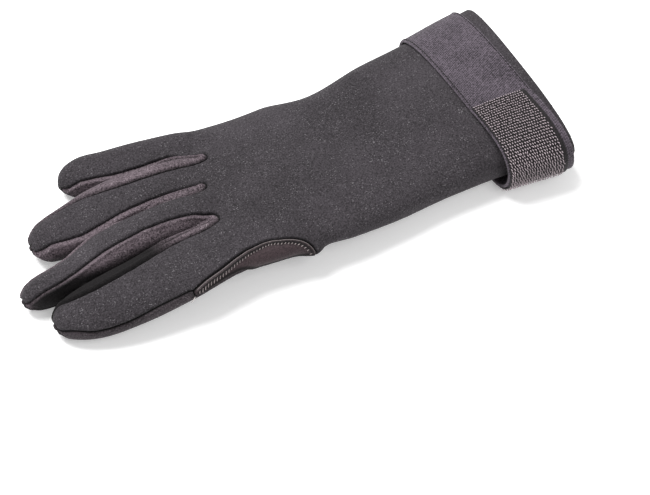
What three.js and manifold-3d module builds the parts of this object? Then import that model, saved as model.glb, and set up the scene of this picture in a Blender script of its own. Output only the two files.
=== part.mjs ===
// A right-hand neoprene diving glove that lies on its palm, back up, with the thumb folded flat under the palm.
// Millimetres. +X runs from the fingers to the cuff, +Y to the little finger, +Z up. The origin is at the
// middle of the underside. Near means the thumb side, at -Y, and far means the little finger side, at +Y.

import * as THREE from "three";
import { mergeVertices } from "three/addons/utils/BufferGeometryUtils.js";
import Module from "manifold-3d";

// Lengths along X. The root line is a line across the knuckles, inside the hand, where the fingers' tubes begin.
const HAND_LENGTH = 152; // from the root line to the rim of the cuff
const INDEX_LENGTH = 108.5; // each finger from the root line to its tip
const MIDDLE_LENGTH = 116;
const RING_LENGTH = 100.5;
const LITTLE_LENGTH = 73;
const THUMB_LENGTH = 82; // from inside the palm to the tip

// Widths along Y, of the tubes as they lie.
const INDEX_WIDTH = 34;
const MIDDLE_WIDTH = 21;
const RING_WIDTH = 25.6;
const LITTLE_WIDTH = 21.6;
const THUMB_WIDTH = 22;
const FINGER_SPACING = 0.8; // slit between neighbouring fingers

// Heights along Z.
const FINGER_THICKNESS = 17.4;
const THUMB_THICKNESS = 10;
const CUFF_HEIGHT = 30;
const THINNEST = 0.3; // least half width and half height of a section at a fingertip

// Neoprene and trims.
const WALL = 2.4;
const SEAM_GAP = 0.3; // open line between two panels, and between two pieces that lie on each other
const STRAP_WIDTH = 32.5;
const STRAP_THICKNESS = 1.6;
const STRAP_TO_RIM = 6; // hem of the cuff that shows past the strap
const STRAP_STAND_OFF = 5; // how far the strap stands off the glove at the thumb side
const HOOK_THICKNESS = 1.8;
const HOOK_MARGIN = 3.5; // plain selvage of the strap beside the hook patch
const PALM_LIP = 4; // how far the palm side of the rim reaches past the back

const ROUNDNESS = { hand: 2.5, finger: 2.15, thumb: 2.5 }; // exponents of the sections: 2 is an ellipse
const HAND_SIDES = 44;
const FINGER_SIDES = 16;
const HOLLOW_HAND_SIDES = 28; // the hollows are coarser than the outside
const HOLLOW_FINGER_SIDES = 12;
const STRAP_SKEW = 4; // how much farther from the fingers the strap runs at the near side than at the far side
// Steps of the hand's section, from the far edge over the back, that the strap and the hook patch run through.
const STRAP_STEPS = { from: -12, to: 28 };
const HOOK_STEPS = { from: 13, to: 27 };
const STAND_OFF_FROM = 13;

const KNUCKLE_WIDTH = INDEX_WIDTH + MIDDLE_WIDTH + RING_WIDTH + LITTLE_WIDTH + 3 * FINGER_SPACING;
const NEAR_EDGE = -KNUCKLE_WIDTH * 0.42; // the fingers' near edge; the hand's middle line is Y = 0

// Sections of a finger, from its root to its tip. along: share of the length. sway: sideways shift of the
// centre, in shares of the knuckle width. half_width: share of the width. lift: share of the thumb's thickness
// that the tube is raised by. rise, half_height: shares of the finger's thickness. near_seam, far_seam: where
// the back panel ends, in shares of the half width from the centre line.
const FINGER_COLUMNS = ["along", "sway", "half_width", "lift", "rise", "half_height", "near_seam", "far_seam"];
const INDEX_SECTIONS = [
  [0.0, 0.014, 0.41, 0.9, 0.55, 0.34, -0.9, 0.6],
  [0.157, 0.007, 0.47, 1.05, 0.53, 0.47, -0.9, 0.6],
  [0.295, 0.0, 0.485, 1.03, 0.52, 0.47, -0.9, 0.55],
  [0.433, -0.003, 0.51, 0.87, 0.52, 0.47, -0.91, 0.54],
  [0.571, -0.005, 0.49, 0.58, 0.53, 0.48, -0.91, 0.5],
  [0.71, 0.001, 0.465, 0.31, 0.53, 0.49, -0.95, 0.43],
  [0.802, 0.01, 0.43, 0.12, 0.525, 0.48, -0.96, 0.41],
  [0.885, 0.021, 0.365, 0.01, 0.505, 0.44, -0.95, 0.47],
  [0.945, 0.028, 0.27, 0.0, 0.47, 0.38, -0.86, 0.66],
  [0.982, 0.032, 0.16, 0.0, 0.45, 0.25, -0.6, 0.5],
  [1.0, 0.033, 0.04, 0.0, 0.44, 0.08, -0.5, 0.5],
];
const MIDDLE_SECTIONS = [
  [0.0, -0.01, 0.42, 0.8, 0.56, 0.38, -0.75, 0.35],
  [0.155, -0.025, 0.42, 0.82, 0.53, 0.5, -0.78, 0.5],
  [0.285, -0.009, 0.472, 0.72, 0.53, 0.525, -0.5, 0.62],
  [0.448, 0.001, 0.49, 0.5, 0.545, 0.54, -0.37, 0.76],
  [0.612, -0.003, 0.476, 0.26, 0.55, 0.535, -0.42, 0.84],
  [0.707, -0.023, 0.429, 0.13, 0.55, 0.525, -0.47, 0.87],
  [0.78, -0.041, 0.381, 0.06, 0.545, 0.51, -0.54, 0.88],
  [0.862, -0.047, 0.345, 0.0, 0.53, 0.485, -0.65, 0.88],
  [0.92, -0.048, 0.31, 0.0, 0.5, 0.44, -0.7, 0.85],
  [0.965, -0.049, 0.24, 0.0, 0.475, 0.365, -0.66, 0.78],
  [0.99, -0.051, 0.14, 0.0, 0.46, 0.22, -0.6, 0.6],
  [1.0, -0.051, 0.045, 0.0, 0.455, 0.08, -0.5, 0.5],
];
const RING_SECTIONS = [
  [0.0, -0.047, 0.41, 0.35, 0.66, 0.4, -0.85, 0.3],
  [0.12, -0.043, 0.49, 0.35, 0.62, 0.47, -0.67, 0.27],
  [0.209, -0.03, 0.495, 0.32, 0.6, 0.485, -0.7, 0.25],
  [0.403, 0.004, 0.485, 0.22, 0.575, 0.495, -0.78, 0.19],
  [0.547, 0.01, 0.5, 0.13, 0.57, 0.495, -0.8, 0.28],
  [0.663, 0.007, 0.49, 0.06, 0.55, 0.49, -0.86, 0.48],
  [0.74, -0.005, 0.467, 0.03, 0.535, 0.48, -0.87, 0.65],
  [0.836, -0.018, 0.432, 0.0, 0.515, 0.465, -0.79, 0.79],
  [0.915, -0.022, 0.365, 0.0, 0.495, 0.42, -0.72, 0.84],
  [0.965, -0.024, 0.255, 0.0, 0.48, 0.32, -0.66, 0.74],
  [0.99, -0.025, 0.14, 0.0, 0.475, 0.19, -0.6, 0.6],
  [1.0, -0.025, 0.045, 0.0, 0.47, 0.08, -0.5, 0.5],
];
const LITTLE_SECTIONS = [
  [0.0, -0.085, 0.41, 0.15, 0.6, 0.4, -0.86, 1.0],
  [0.11, -0.064, 0.452, 0.12, 0.58, 0.45, -0.84, 1.0],
  [0.271, -0.043, 0.475, 0.08, 0.55, 0.46, -0.74, 1.0],
  [0.538, -0.015, 0.49, 0.03, 0.5, 0.46, -0.78, 1.0],
  [0.671, 0.002, 0.493, 0.0, 0.465, 0.465, -0.77, 1.0],
  [0.805, 0.022, 0.472, 0.0, 0.45, 0.45, -0.75, 1.0],
  [0.895, 0.023, 0.407, 0.0, 0.45, 0.4, -0.7, 1.0],
  [0.955, 0.023, 0.29, 0.0, 0.445, 0.31, -0.6, 1.0],
  [0.988, 0.022, 0.15, 0.0, 0.44, 0.19, -0.55, 1.0],
  [1.0, 0.022, 0.05, 0.0, 0.44, 0.08, -0.5, 1.0],
];

// The thumb's tube, from inside the palm to its tip, folded forward under the index finger. across: centre
// from the near edge, in shares of the index finger's width. high: share of the thumb's thickness.
const THUMB_COLUMNS = ["along", "across", "half_width", "high", "half_height"];
const THUMB_SECTIONS = [
  [0.0, 0.62, 0.42, 1.66, 0.36],
  [0.2, 0.65, 0.47, 1.22, 0.46],
  [0.37, 0.66, 0.5, 0.78, 0.5],
  [0.54, 0.665, 0.5, 0.5, 0.5],
  [0.71, 0.665, 0.49, 0.49, 0.49],
  [0.83, 0.665, 0.46, 0.475, 0.475],
  [0.92, 0.67, 0.37, 0.45, 0.42],
  [0.978, 0.67, 0.2, 0.43, 0.29],
  [1.0, 0.67, 0.05, 0.42, 0.1],
];
const THUMB_ROOT = 26; // how far the thumb's tube begins behind the root line

// Sections of the hand and cuff. along: share of the hand's length from the root line. near, far: edges, in
// shares of the knuckle width. lift: share of the thumb's thickness that the near edge is raised by. near_mid,
// far_mid: height of the edges. back: rise of the back over them. palm_near, palm_far: depth of the palm under
// them. These five are shares of the section's own unit of height, which goes from the finger's thickness to
// the cuff's height as cuff goes from 0 to 1. slant: how far the far edge of the section lies behind the near
// edge, in shares of the knuckle width. lip: share of the palm lip.
const HAND_COLUMNS = [
  "along", "near", "far", "lift", "near_mid", "far_mid", "back", "palm_near", "palm_far", "cuff", "slant", "lip",
];
const HAND_SECTIONS = [
  [-0.115, -0.385, 0.49, 1.0, 0.46, 0.64, 0.45, 0.29, 0.46, 0.0, 0.26, 0],
  [-0.07, -0.4, 0.483, 1.0, 0.48, 0.64, 0.53, 0.31, 0.52, 0.0, 0.24, 0],
  [0.053, -0.432, 0.462, 0.95, 0.46, 0.62, 0.55, 0.32, 0.56, 0.15, 0.13, 0],
  [0.184, -0.444, 0.442, 0.75, 0.5, 0.61, 0.545, 0.37, 0.57, 0.3, 0.05, 0],
  [0.362, -0.437, 0.392, 0.36, 0.49, 0.55, 0.5, 0.42, 0.52, 0.65, 0.0, 0],
  [0.579, -0.414, 0.435, 0.0, 0.53, 0.53, 0.47, 0.5, 0.5, 1.0, 0.0, 0],
  [0.724, -0.417, 0.455, 0.0, 0.54, 0.54, 0.485, 0.51, 0.51, 1.0, 0.0, 0],
  [0.875, -0.44, 0.487, 0.0, 0.555, 0.555, 0.5, 0.525, 0.525, 1.0, 0.0, 0.15],
  [1.0, -0.468, 0.511, 0.0, 0.56, 0.56, 0.5, 0.53, 0.53, 1.0, 0.0, 1],
];

// The seam round the thumb patch, on the back of the hand, from the index finger to the patch's tip.
// along: share of the hand's length. across: share of the knuckle width.
const PATCH_COLUMNS = ["along", "across"];
const PATCH_EDGE = [
  [-0.31, -0.412],
  [-0.275, -0.391],
  [-0.213, -0.373],
  [-0.15, -0.353],
  [-0.088, -0.343],
  [-0.044, -0.342],
  [0.008, -0.361],
  [0.042, -0.381],
  [0.079, -0.42],
  [0.098, -0.46],
];

// Where the leaf-shaped end of each strip between two fingers lies on the back of the hand, from the index
// finger's to the little finger's. along: share of the hand's length. sway: from the slit, in shares of the
// knuckle width.
const LEAF_COLUMNS = ["along", "sway"];
const LEAF_ENDS = [
  [-0.124, -0.024],
  [-0.096, -0.04],
  [-0.04, -0.117],
];
const LEAF_NOSE = 3; // length over which a leaf narrows to its end

const wasm = await Module();
wasm.setup();

// Reads a table into objects, one for each section.
function rowsOf(columns, table) {
  return table.map((row) => Object.fromEntries(columns.map((name, i) => [name, row[i]])));
}

// A row between the rows of a table, at a place along it.
function rowAt(rows, along) {
  let i = 0;
  while (i < rows.length - 2 && rows[i + 1].along < along) i += 1;
  const [a, b] = [rows[i], rows[i + 1]];
  const t = (along - a.along) / (b.along - a.along);
  return Object.fromEntries(Object.keys(a).map((key) => [key, THREE.MathUtils.lerp(a[key], b[key], t)]));
}

// Superellipse: the share across and the share up of its point at an angle, 0 at the far edge and 90 on top.
function roundPoint(angle, exponent) {
  const [c, s] = [Math.cos(angle), Math.sin(angle)];
  return [Math.sign(c) * Math.abs(c) ** (2 / exponent), Math.sign(s) * Math.abs(s) ** (2 / exponent)];
}

const handRows = rowsOf(HAND_COLUMNS, HAND_SECTIONS);
const thumbRows = rowsOf(THUMB_COLUMNS, THUMB_SECTIONS);
const fingers = [
  { name: "index", length: INDEX_LENGTH, width: INDEX_WIDTH, rows: rowsOf(FINGER_COLUMNS, INDEX_SECTIONS) },
  { name: "middle", length: MIDDLE_LENGTH, width: MIDDLE_WIDTH, rows: rowsOf(FINGER_COLUMNS, MIDDLE_SECTIONS) },
  { name: "ring", length: RING_LENGTH, width: RING_WIDTH, rows: rowsOf(FINGER_COLUMNS, RING_SECTIONS) },
  { name: "little", length: LITTLE_LENGTH, width: LITTLE_WIDTH, rows: rowsOf(FINGER_COLUMNS, LITTLE_SECTIONS) },
];
let nearSide = NEAR_EDGE;
for (const finger of fingers) {
  finger.centre = nearSide + finger.width / 2;
  nearSide += finger.width + FINGER_SPACING;
}

// One section of a finger, with a cover added all round. The underside is flat where it meets the floor.
function fingerSection(finger, row, cover) {
  const y = finger.centre + row.sway * KNUCKLE_WIDTH;
  const z = row.lift * THUMB_THICKNESS + row.rise * FINGER_THICKNESS;
  const halfWidth = Math.max(row.half_width * finger.width + cover, THINNEST);
  const halfHeight = Math.max(row.half_height * FINGER_THICKNESS + cover, THINNEST);
  return { x: -row.along * (finger.length + cover), y, z, halfWidth, halfHeight, floor: -cover };
}

// One section of the thumb, with a cover added all round.
function thumbSection(row, cover) {
  return {
    x: THUMB_ROOT - row.along * (THUMB_LENGTH + cover),
    y: NEAR_EDGE + row.across * INDEX_WIDTH,
    z: row.high * THUMB_THICKNESS,
    halfWidth: Math.max(row.half_width * THUMB_WIDTH + cover, THINNEST),
    halfHeight: Math.max(row.half_height * THUMB_THICKNESS + cover, THINNEST),
    floor: -cover,
  };
}

// The ring of points of a finger's or thumb's section.
function tubeRing(section, exponent) {
  const ring = [];
  const sides = section.floor > 0 ? HOLLOW_FINGER_SIDES : FINGER_SIDES;
  for (let i = 0; i < sides; i += 1) {
    const [across, up] = roundPoint((2 * Math.PI * i) / sides, exponent);
    const z = Math.max(section.z + section.halfHeight * up, section.floor);
    ring.push(new THREE.Vector3(section.x, section.y + section.halfWidth * across, z));
  }
  return ring;
}

// The cuff lies on the strap that passes under it.
const CUFF_FLOOR = STRAP_THICKNESS + SEAM_GAP;

// A point on the hand's section at an angle, with a cover added.
function handPoint(row, angle, cover) {
  const unit = THREE.MathUtils.lerp(FINGER_THICKNESS, CUFF_HEIGHT, row.cuff);
  const [across, up] = roundPoint(angle, ROUNDNESS.hand);
  const f = (across + 1) / 2;
  const near = row.near * KNUCKLE_WIDTH - cover;
  const far = row.far * KNUCKLE_WIDTH + cover;
  const lift = row.lift * THUMB_THICKNESS * (1 - f);
  const middle = lift + unit * THREE.MathUtils.lerp(row.near_mid, row.far_mid, f);
  const depth = unit * THREE.MathUtils.lerp(row.palm_near, row.palm_far, f);
  const half = (up > 0 ? unit * row.back : depth) + cover;
  const floor = row.cuff * CUFF_FLOOR - cover;
  return new THREE.Vector3(
    row.along * HAND_LENGTH + row.slant * KNUCKLE_WIDTH * (f - 0.5) + (row.lip * PALM_LIP * (1 - up)) / 2,
    THREE.MathUtils.lerp(near, far, f),
    Math.max(middle + half * up, floor),
  );
}

function handRing(row, cover) {
  const sides = cover < 0 ? HOLLOW_HAND_SIDES : HAND_SIDES;
  return Array.from({ length: sides }, (_, i) => handPoint(row, (2 * Math.PI * i) / sides, cover));
}

// A closed body through rings that run the same way round, each with as many points.
function loft(rings) {
  const count = rings[0].length;
  const points = rings.flat();
  const faces = [];
  for (let r = 0; r < rings.length - 1; r += 1) {
    for (let i = 0; i < count; i += 1) {
      const j = (i + 1) % count;
      const [a, b, c, d] = [r * count + i, r * count + j, (r + 1) * count + j, (r + 1) * count + i];
      faces.push(a, b, c, a, c, d);
    }
  }
  for (const [start, flip] of [[0, true], [(rings.length - 1) * count, false]]) {
    const centre = points.length;
    const middle = new THREE.Vector3();
    for (let i = 0; i < count; i += 1) middle.addScaledVector(points[start + i], 1 / count);
    points.push(middle);
    for (let i = 0; i < count; i += 1) {
      const j = (i + 1) % count;
      faces.push(centre, start + (flip ? j : i), start + (flip ? i : j));
    }
  }
  return solidOf(new THREE.BufferGeometry().setFromPoints(points).setIndex(faces));
}

// A closed geometry as a solid that can be joined and cut. A body that comes out inside out is turned round.
function solidOf(geometry) {
  const bare = geometry.clone();
  bare.deleteAttribute("normal");
  bare.deleteAttribute("uv");
  const merged = mergeVertices(bare, 1e-4);
  const triVerts = new Uint32Array(merged.index.array);
  const vertProperties = merged.attributes.position.array;
  const made = new wasm.Manifold(new wasm.Mesh({ numProp: 3, vertProperties, triVerts }));
  if (made.volume() > 0) return made;
  for (let i = 0; i < triVerts.length; i += 3) [triVerts[i], triVerts[i + 1]] = [triVerts[i + 1], triVerts[i]];
  return new wasm.Manifold(new wasm.Mesh({ numProp: 3, vertProperties, triVerts }));
}

function joined(solids) {
  return solids.reduce((a, b) => a.add(b));
}

// An upright prism over an outline of [x, y] points, high enough to pass through the whole glove.
const PRISM_BOTTOM = -CUFF_HEIGHT;
const PRISM_TOP = 3 * CUFF_HEIGHT;
function prism(outline) {
  const shape = new THREE.Shape(outline.map(([x, y]) => new THREE.Vector2(x, y)));
  const geometry = new THREE.ExtrudeGeometry(shape, { depth: PRISM_TOP - PRISM_BOTTOM, bevelEnabled: false });
  return solidOf(geometry.translate(0, 0, PRISM_BOTTOM));
}

// An upright ribbon along a line of [x, y] points, as wide as the gap of a seam.
function ribbon(line) {
  const [left, right] = [[], []];
  line.forEach(([x, y], i) => {
    const [ax, ay] = line[Math.max(i - 1, 0)];
    const [bx, by] = line[Math.min(i + 1, line.length - 1)];
    const length = Math.hypot(bx - ax, by - ay);
    const [nx, ny] = [(-(by - ay) / length) * (SEAM_GAP / 2), ((bx - ax) / length) * (SEAM_GAP / 2)];
    left.push([x + nx, y + ny]);
    right.unshift([x - nx, y - ny]);
  });
  return prism([...left, ...right]);
}

// The hand with its four fingers as one body, with a cover added all round. With a cover below 0 it is the
// hollow, which runs out of the cuff.
function handBody(cover) {
  const rows = handRows.map((row) => ({ ...row }));
  rows[0].along -= cover / HAND_LENGTH;
  if (cover < 0) rows[rows.length - 1].along -= cover / HAND_LENGTH;
  const hand = loft(rows.map((row) => handRing(row, cover)));
  const tubes = fingers.map((finger) =>
    loft(finger.rows.map((row) => tubeRing(fingerSection(finger, row, cover), ROUNDNESS.finger))),
  );
  return joined([hand, ...tubes]);
}

function thumbBody(cover) {
  return loft(thumbRows.map((row) => tubeRing(thumbSection(row, cover), ROUNDNESS.thumb)));
}

// Points [x, y] of a seam of the back panel on a finger, from the leaf's nose to the fingertip.
function seamLine(finger, side, leafX) {
  const start = leafX - LEAF_NOSE;
  const rows = finger.rows.filter((row) => -row.along * finger.length < start - 1 && row.along < 1);
  return [rowAt(finger.rows, -start / finger.length), ...rows].map((row) => {
    const section = fingerSection(finger, row, 0);
    return [section.x, section.y + row[side] * section.halfWidth];
  });
}

const leaves = rowsOf(LEAF_COLUMNS, LEAF_ENDS).map((leaf, i) => {
  const slit = fingers[i].centre + fingers[i].width / 2 + FINGER_SPACING / 2;
  return [leaf.along * HAND_LENGTH, slit + leaf.sway * KNUCKLE_WIDTH];
});
const patchEdge = rowsOf(PATCH_COLUMNS, PATCH_EDGE).map((row) => [
  row.along * HAND_LENGTH,
  row.across * KNUCKLE_WIDTH,
]);

// The seams of the back panel: two on each finger, but one on the little finger, whose far side has none.
const nearSeams = fingers.map((finger, i) => {
  if (i > 0) return seamLine(finger, "near_seam", leaves[i - 1][0]);
  const beyondPatch = seamLine(finger, "near_seam", patchEdge[0][0] + LEAF_NOSE);
  return [patchEdge[0], ...beyondPatch.slice(1)];
});
const farSeams = fingers.slice(0, 3).map((finger, i) => seamLine(finger, "far_seam", leaves[i][0]));

// Places outside the glove that the cutting outlines run through.
const BEYOND_SIDE = KNUCKLE_WIDTH;
const BEYOND_RIM = HAND_LENGTH + CUFF_HEIGHT;
const BEYOND_TIPS = -MIDDLE_LENGTH - CUFF_HEIGHT / 2;
const lastOf = (line) => line[line.length - 1];

// The outline of the back panel, seen from above.
function backOutline() {
  const littleTip = lastOf(nearSeams[3]);
  const outline = [
    [BEYOND_RIM, BEYOND_SIDE],
    [littleTip[0] - WALL, BEYOND_SIDE],
    [littleTip[0] - WALL, littleTip[1]],
  ];
  for (const i of [3, 2, 1]) {
    outline.push(...nearSeams[i].toReversed(), leaves[i - 1], ...farSeams[i - 1]);
  }
  outline.push(...nearSeams[0].toReversed(), ...patchEdge.slice(1));
  outline.push([lastOf(patchEdge)[0], -BEYOND_SIDE], [BEYOND_RIM, -BEYOND_SIDE]);
  return outline;
}

// The outline of the strip between two fingers: from the near finger's tip along its far seam, round the leaf
// and along the far finger's near seam to its tip.
function stripOutline(i) {
  const [near, far] = [farSeams[i].toReversed(), nearSeams[i + 1]];
  return [[BEYOND_TIPS, near[0][1]], ...near, leaves[i], ...far, [BEYOND_TIPS, lastOf(far)[1]]];
}

const SIDE_SEAM_DROP = 0.3; // fall of the hand's near seam below the middle, in shares of the palm side's height

// Height of the line along the glove's edges where the back panel meets the palm panel, near and far.
function partingHeights(x) {
  if (x > -LITTLE_LENGTH / 4) {
    const row = rowAt(handRows, x / HAND_LENGTH);
    const unit = THREE.MathUtils.lerp(FINGER_THICKNESS, CUFF_HEIGHT, row.cuff);
    const nearMiddle = row.near_mid - SIDE_SEAM_DROP * row.palm_near;
    return [row.lift * THUMB_THICKNESS + nearMiddle * unit, row.far_mid * unit];
  }
  return [fingers[0], fingers[3]].map((finger) => {
    const row = rowAt(finger.rows, Math.min(-x / finger.length, 1));
    return row.lift * THUMB_THICKNESS + row.rise * FINGER_THICKNESS;
  });
}

const PARTING_STEPS = 24;
const PARTING_SPARE = 1; // how far the body above the parting line reaches past the panels' outlines

// Everything higher than the parting line less a clearance, over the whole plan of the glove.
function aboveParting(clearance) {
  const places = [BEYOND_TIPS - PARTING_SPARE];
  for (let x = -MIDDLE_LENGTH; x <= HAND_LENGTH; x += (HAND_LENGTH + MIDDLE_LENGTH) / PARTING_STEPS) places.push(x);
  places.push(BEYOND_RIM + PARTING_SPARE);
  return loft(
    places.map((x) => {
      const [near, far] = partingHeights(THREE.MathUtils.clamp(x, -MIDDLE_LENGTH, HAND_LENGTH));
      const slope = (far - near) / KNUCKLE_WIDTH;
      const middle = near - slope * NEAR_EDGE;
      const side = BEYOND_SIDE + PARTING_SPARE;
      return [
        new THREE.Vector3(x, side, middle + slope * side - clearance),
        new THREE.Vector3(x, side, PRISM_TOP),
        new THREE.Vector3(x, -side, PRISM_TOP),
        new THREE.Vector3(x, -side, middle - slope * side - clearance),
      ];
    }),
  );
}

// The panels are cut from one shell. Each seam is a ribbon of space, so that neighbours stay clear.
const shell = handBody(0).subtract(handBody(-WALL)).subtract(thumbBody(-WALL));
const upper = aboveParting(0);
const upperWithGap = aboveParting(SEAM_GAP);
const backPrism = prism(backOutline());
const patchOutline = [...patchEdge, [lastOf(patchEdge)[0], -BEYOND_SIDE], [patchEdge[0][0], -BEYOND_SIDE]];
const patchPrism = prism(patchOutline);
const stripPrisms = [0, 1, 2].map((i) => prism(stripOutline(i)));
const stripRibbons = joined([0, 1, 2].map((i) => ribbon(stripOutline(i))));
const edgeRibbons = joined([
  ribbon([...nearSeams[0].toReversed(), ...patchEdge.slice(1)]),
  ribbon([patchEdge[0], [patchEdge[0][0], -BEYOND_SIDE]]),
  ribbon([lastOf(patchEdge), [lastOf(patchEdge)[0], -BEYOND_SIDE]]),
  ribbon([lastOf(farSeams[0]), lastOf(nearSeams[0])]),
  ribbon([lastOf(farSeams[1]), lastOf(nearSeams[1])]),
  ribbon([lastOf(farSeams[2]), lastOf(nearSeams[2])]),
  ribbon([lastOf(nearSeams[3]), backOutline()[2], backOutline()[1]]),
]).intersect(upperWithGap);
const cutShell = shell.subtract(stripRibbons).subtract(edgeRibbons);

const backPanel = cutShell.intersect(backPrism).intersect(upper);
const thumbPatch = cutShell.intersect(patchPrism).intersect(upper);
const strips = stripPrisms.map((body) => cutShell.intersect(body));
const palmPanel = cutShell
  .subtract(joined(stripPrisms))
  .subtract(joined([backPrism, patchPrism]).intersect(upperWithGap));
const thumb = thumbBody(0).subtract(thumbBody(-WALL)).subtract(handBody(SEAM_GAP));

// A band that follows the cuff's section. inner: clearance under it, out from the glove. edges: share of the
// strap's width where the band begins and ends.
function band(steps, inner, thickness, edges) {
  const rings = [];
  for (let i = steps.from; i <= steps.to; i += 1) {
    const angle = (2 * Math.PI * i) / HAND_SIDES;
    const bulge = THREE.MathUtils.clamp((i - STAND_OFF_FROM) / (STRAP_STEPS.to - STAND_OFF_FROM), 0, 1);
    const standOff = STRAP_STAND_OFF * Math.sin(Math.PI * bulge);
    const [across] = roundPoint(angle, ROUNDNESS.hand);
    const start = HAND_LENGTH - STRAP_TO_RIM - STRAP_WIDTH - (across * STRAP_SKEW) / 2;
    const places = edges.map((edge) => start + edge * STRAP_WIDTH);
    const stations = handRows.map((row) => row.along * HAND_LENGTH);
    const between = stations.filter((x) => x > places[0] + 3 * STRAP_SKEW && x < places[1] - STRAP_SKEW);
    const pairs = [places[0], ...between, places[1]].map((x) => {
      const row = rowAt(handRows, x / HAND_LENGTH);
      const step = Math.PI / HAND_SIDES;
      const [before, after] = [handPoint(row, angle - step, 0), handPoint(row, angle + step, 0)];
      const out = new THREE.Vector3(0, after.z - before.z, before.y - after.y).normalize();
      const foot = handPoint(row, angle, 0);
      return [inner + standOff, inner + standOff + thickness].map((far) => {
        const point = foot.clone().addScaledVector(out, far);
        point.z = Math.max(point.z, far > inner + standOff ? 0 : thickness);
        return point;
      });
    });
    rings.push([...pairs.map((pair) => pair[0]), ...pairs.map((pair) => pair[1]).toReversed()]);
  }
  return loft(rings);
}

const strap = band(STRAP_STEPS, SEAM_GAP, STRAP_THICKNESS, [0, 1]);
const hookEdges = [(2 * SEAM_GAP) / STRAP_WIDTH, 1 - HOOK_MARGIN / STRAP_WIDTH];
const hooks = band(HOOK_STEPS, 2 * SEAM_GAP + STRAP_THICKNESS, HOOK_THICKNESS, hookEdges);

// A named mesh of a solid.
function meshOf(name, solid, material) {
  const mesh = solid.getMesh();
  const geometry = new THREE.BufferGeometry();
  geometry.setAttribute("position", new THREE.BufferAttribute(new Float32Array(mesh.vertProperties), 3));
  geometry.setIndex(new THREE.BufferAttribute(new Uint32Array(mesh.triVerts), 1));
  const made = new THREE.Mesh(geometry, material);
  made.name = name;
  return made;
}

function cloth(colour, roughness) {
  return new THREE.MeshStandardMaterial({ color: colour, roughness, metalness: 0, flatShading: true });
}
const charcoal = cloth(0x353437, 0.9); // knitted face of the neoprene
const greyKnit = cloth(0x4f4a4d, 0.88); // softer knit between the fingers
const brownPatch = cloth(0x3a3232, 0.7); // smooth reinforcement
const webbing = cloth(0x5b545c, 0.85); // woven elastic
const hookTape = cloth(0x5d5256, 0.8);

const glove = new THREE.Group();
glove.add(
  meshOf("back_panel", backPanel, charcoal),
  meshOf("palm_panel", palmPanel, greyKnit),
  meshOf("strip_index_middle", strips[0], greyKnit),
  meshOf("strip_middle_ring", strips[1], greyKnit),
  meshOf("strip_ring_little", strips[2], greyKnit),
  meshOf("thumb_patch", thumbPatch, brownPatch),
  meshOf("thumb", thumb, charcoal),
  meshOf("wrist_strap", strap, webbing),
  meshOf("hook_patch", hooks, hookTape),
);
const box = new THREE.Box3().setFromObject(glove);
const middle = box.getCenter(new THREE.Vector3());
glove.position.set(-middle.x, -middle.y, -box.min.z);

export default glove;
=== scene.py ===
import math

import bpy
import numpy as np
from mathutils import Matrix, Vector, noise
from mathutils.bvhtree import BVHTree
from mathutils.kdtree import KDTree

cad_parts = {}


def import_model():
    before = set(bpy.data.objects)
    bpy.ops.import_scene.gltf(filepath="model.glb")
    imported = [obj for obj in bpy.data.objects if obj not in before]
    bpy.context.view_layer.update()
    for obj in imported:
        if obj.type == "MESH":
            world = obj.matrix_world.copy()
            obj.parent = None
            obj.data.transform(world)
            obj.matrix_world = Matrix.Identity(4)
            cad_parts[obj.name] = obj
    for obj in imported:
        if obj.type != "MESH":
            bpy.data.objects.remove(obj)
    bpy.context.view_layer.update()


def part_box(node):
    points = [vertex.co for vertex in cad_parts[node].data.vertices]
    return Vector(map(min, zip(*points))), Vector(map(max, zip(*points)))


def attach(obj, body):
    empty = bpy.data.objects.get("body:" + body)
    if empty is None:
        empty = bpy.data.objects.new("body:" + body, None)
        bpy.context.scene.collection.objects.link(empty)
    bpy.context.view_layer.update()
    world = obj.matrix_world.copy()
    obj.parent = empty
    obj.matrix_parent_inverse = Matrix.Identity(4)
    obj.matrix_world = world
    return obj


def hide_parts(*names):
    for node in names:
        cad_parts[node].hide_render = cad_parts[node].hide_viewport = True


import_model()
MM = 0.001

# Sizes of the CAD model.
HAND_LENGTH = 152.0
INDEX_LENGTH = 108.5
MIDDLE_LENGTH = 116.0
RING_LENGTH = 100.5
LITTLE_LENGTH = 73.0
THUMB_LENGTH = 82.0
INDEX_WIDTH = 34.0
MIDDLE_WIDTH = 21.0
RING_WIDTH = 25.6
LITTLE_WIDTH = 21.6
THUMB_WIDTH = 22.0
FINGER_SPACING = 0.8
FINGER_THICKNESS = 17.4
THUMB_THICKNESS = 10.0
CUFF_HEIGHT = 30.0
WALL = 2.4
SEAM_GAP = 0.3
STRAP_WIDTH = 32.5
STRAP_THICKNESS = 1.6
STRAP_TO_RIM = 6.0
STRAP_STAND_OFF = 5.0
STRAP_SKEW = 4.0
HOOK_THICKNESS = 1.8
HOOK_MARGIN = 3.5
PALM_LIP = 4.0
THUMB_ROOT = 26.0
SIDE_SEAM_DROP = 0.45
HAND_ROUNDNESS = 2.5
FINGER_ROUNDNESS = 2.15
THUMB_ROUNDNESS = 2.5
SECTION_STEPS = 44  # steps round a section that the strap's and the hook patch's ends are counted in
STRAP_FROM, STRAP_TO = -12, 28
HOOK_FROM, HOOK_TO = 13, 27
KNUCKLE_WIDTH = INDEX_WIDTH + MIDDLE_WIDTH + RING_WIDTH + LITTLE_WIDTH + 3 * FINGER_SPACING
NEAR_EDGE = -KNUCKLE_WIDTH * 0.42
CUFF_FLOOR = STRAP_THICKNESS + SEAM_GAP

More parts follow.
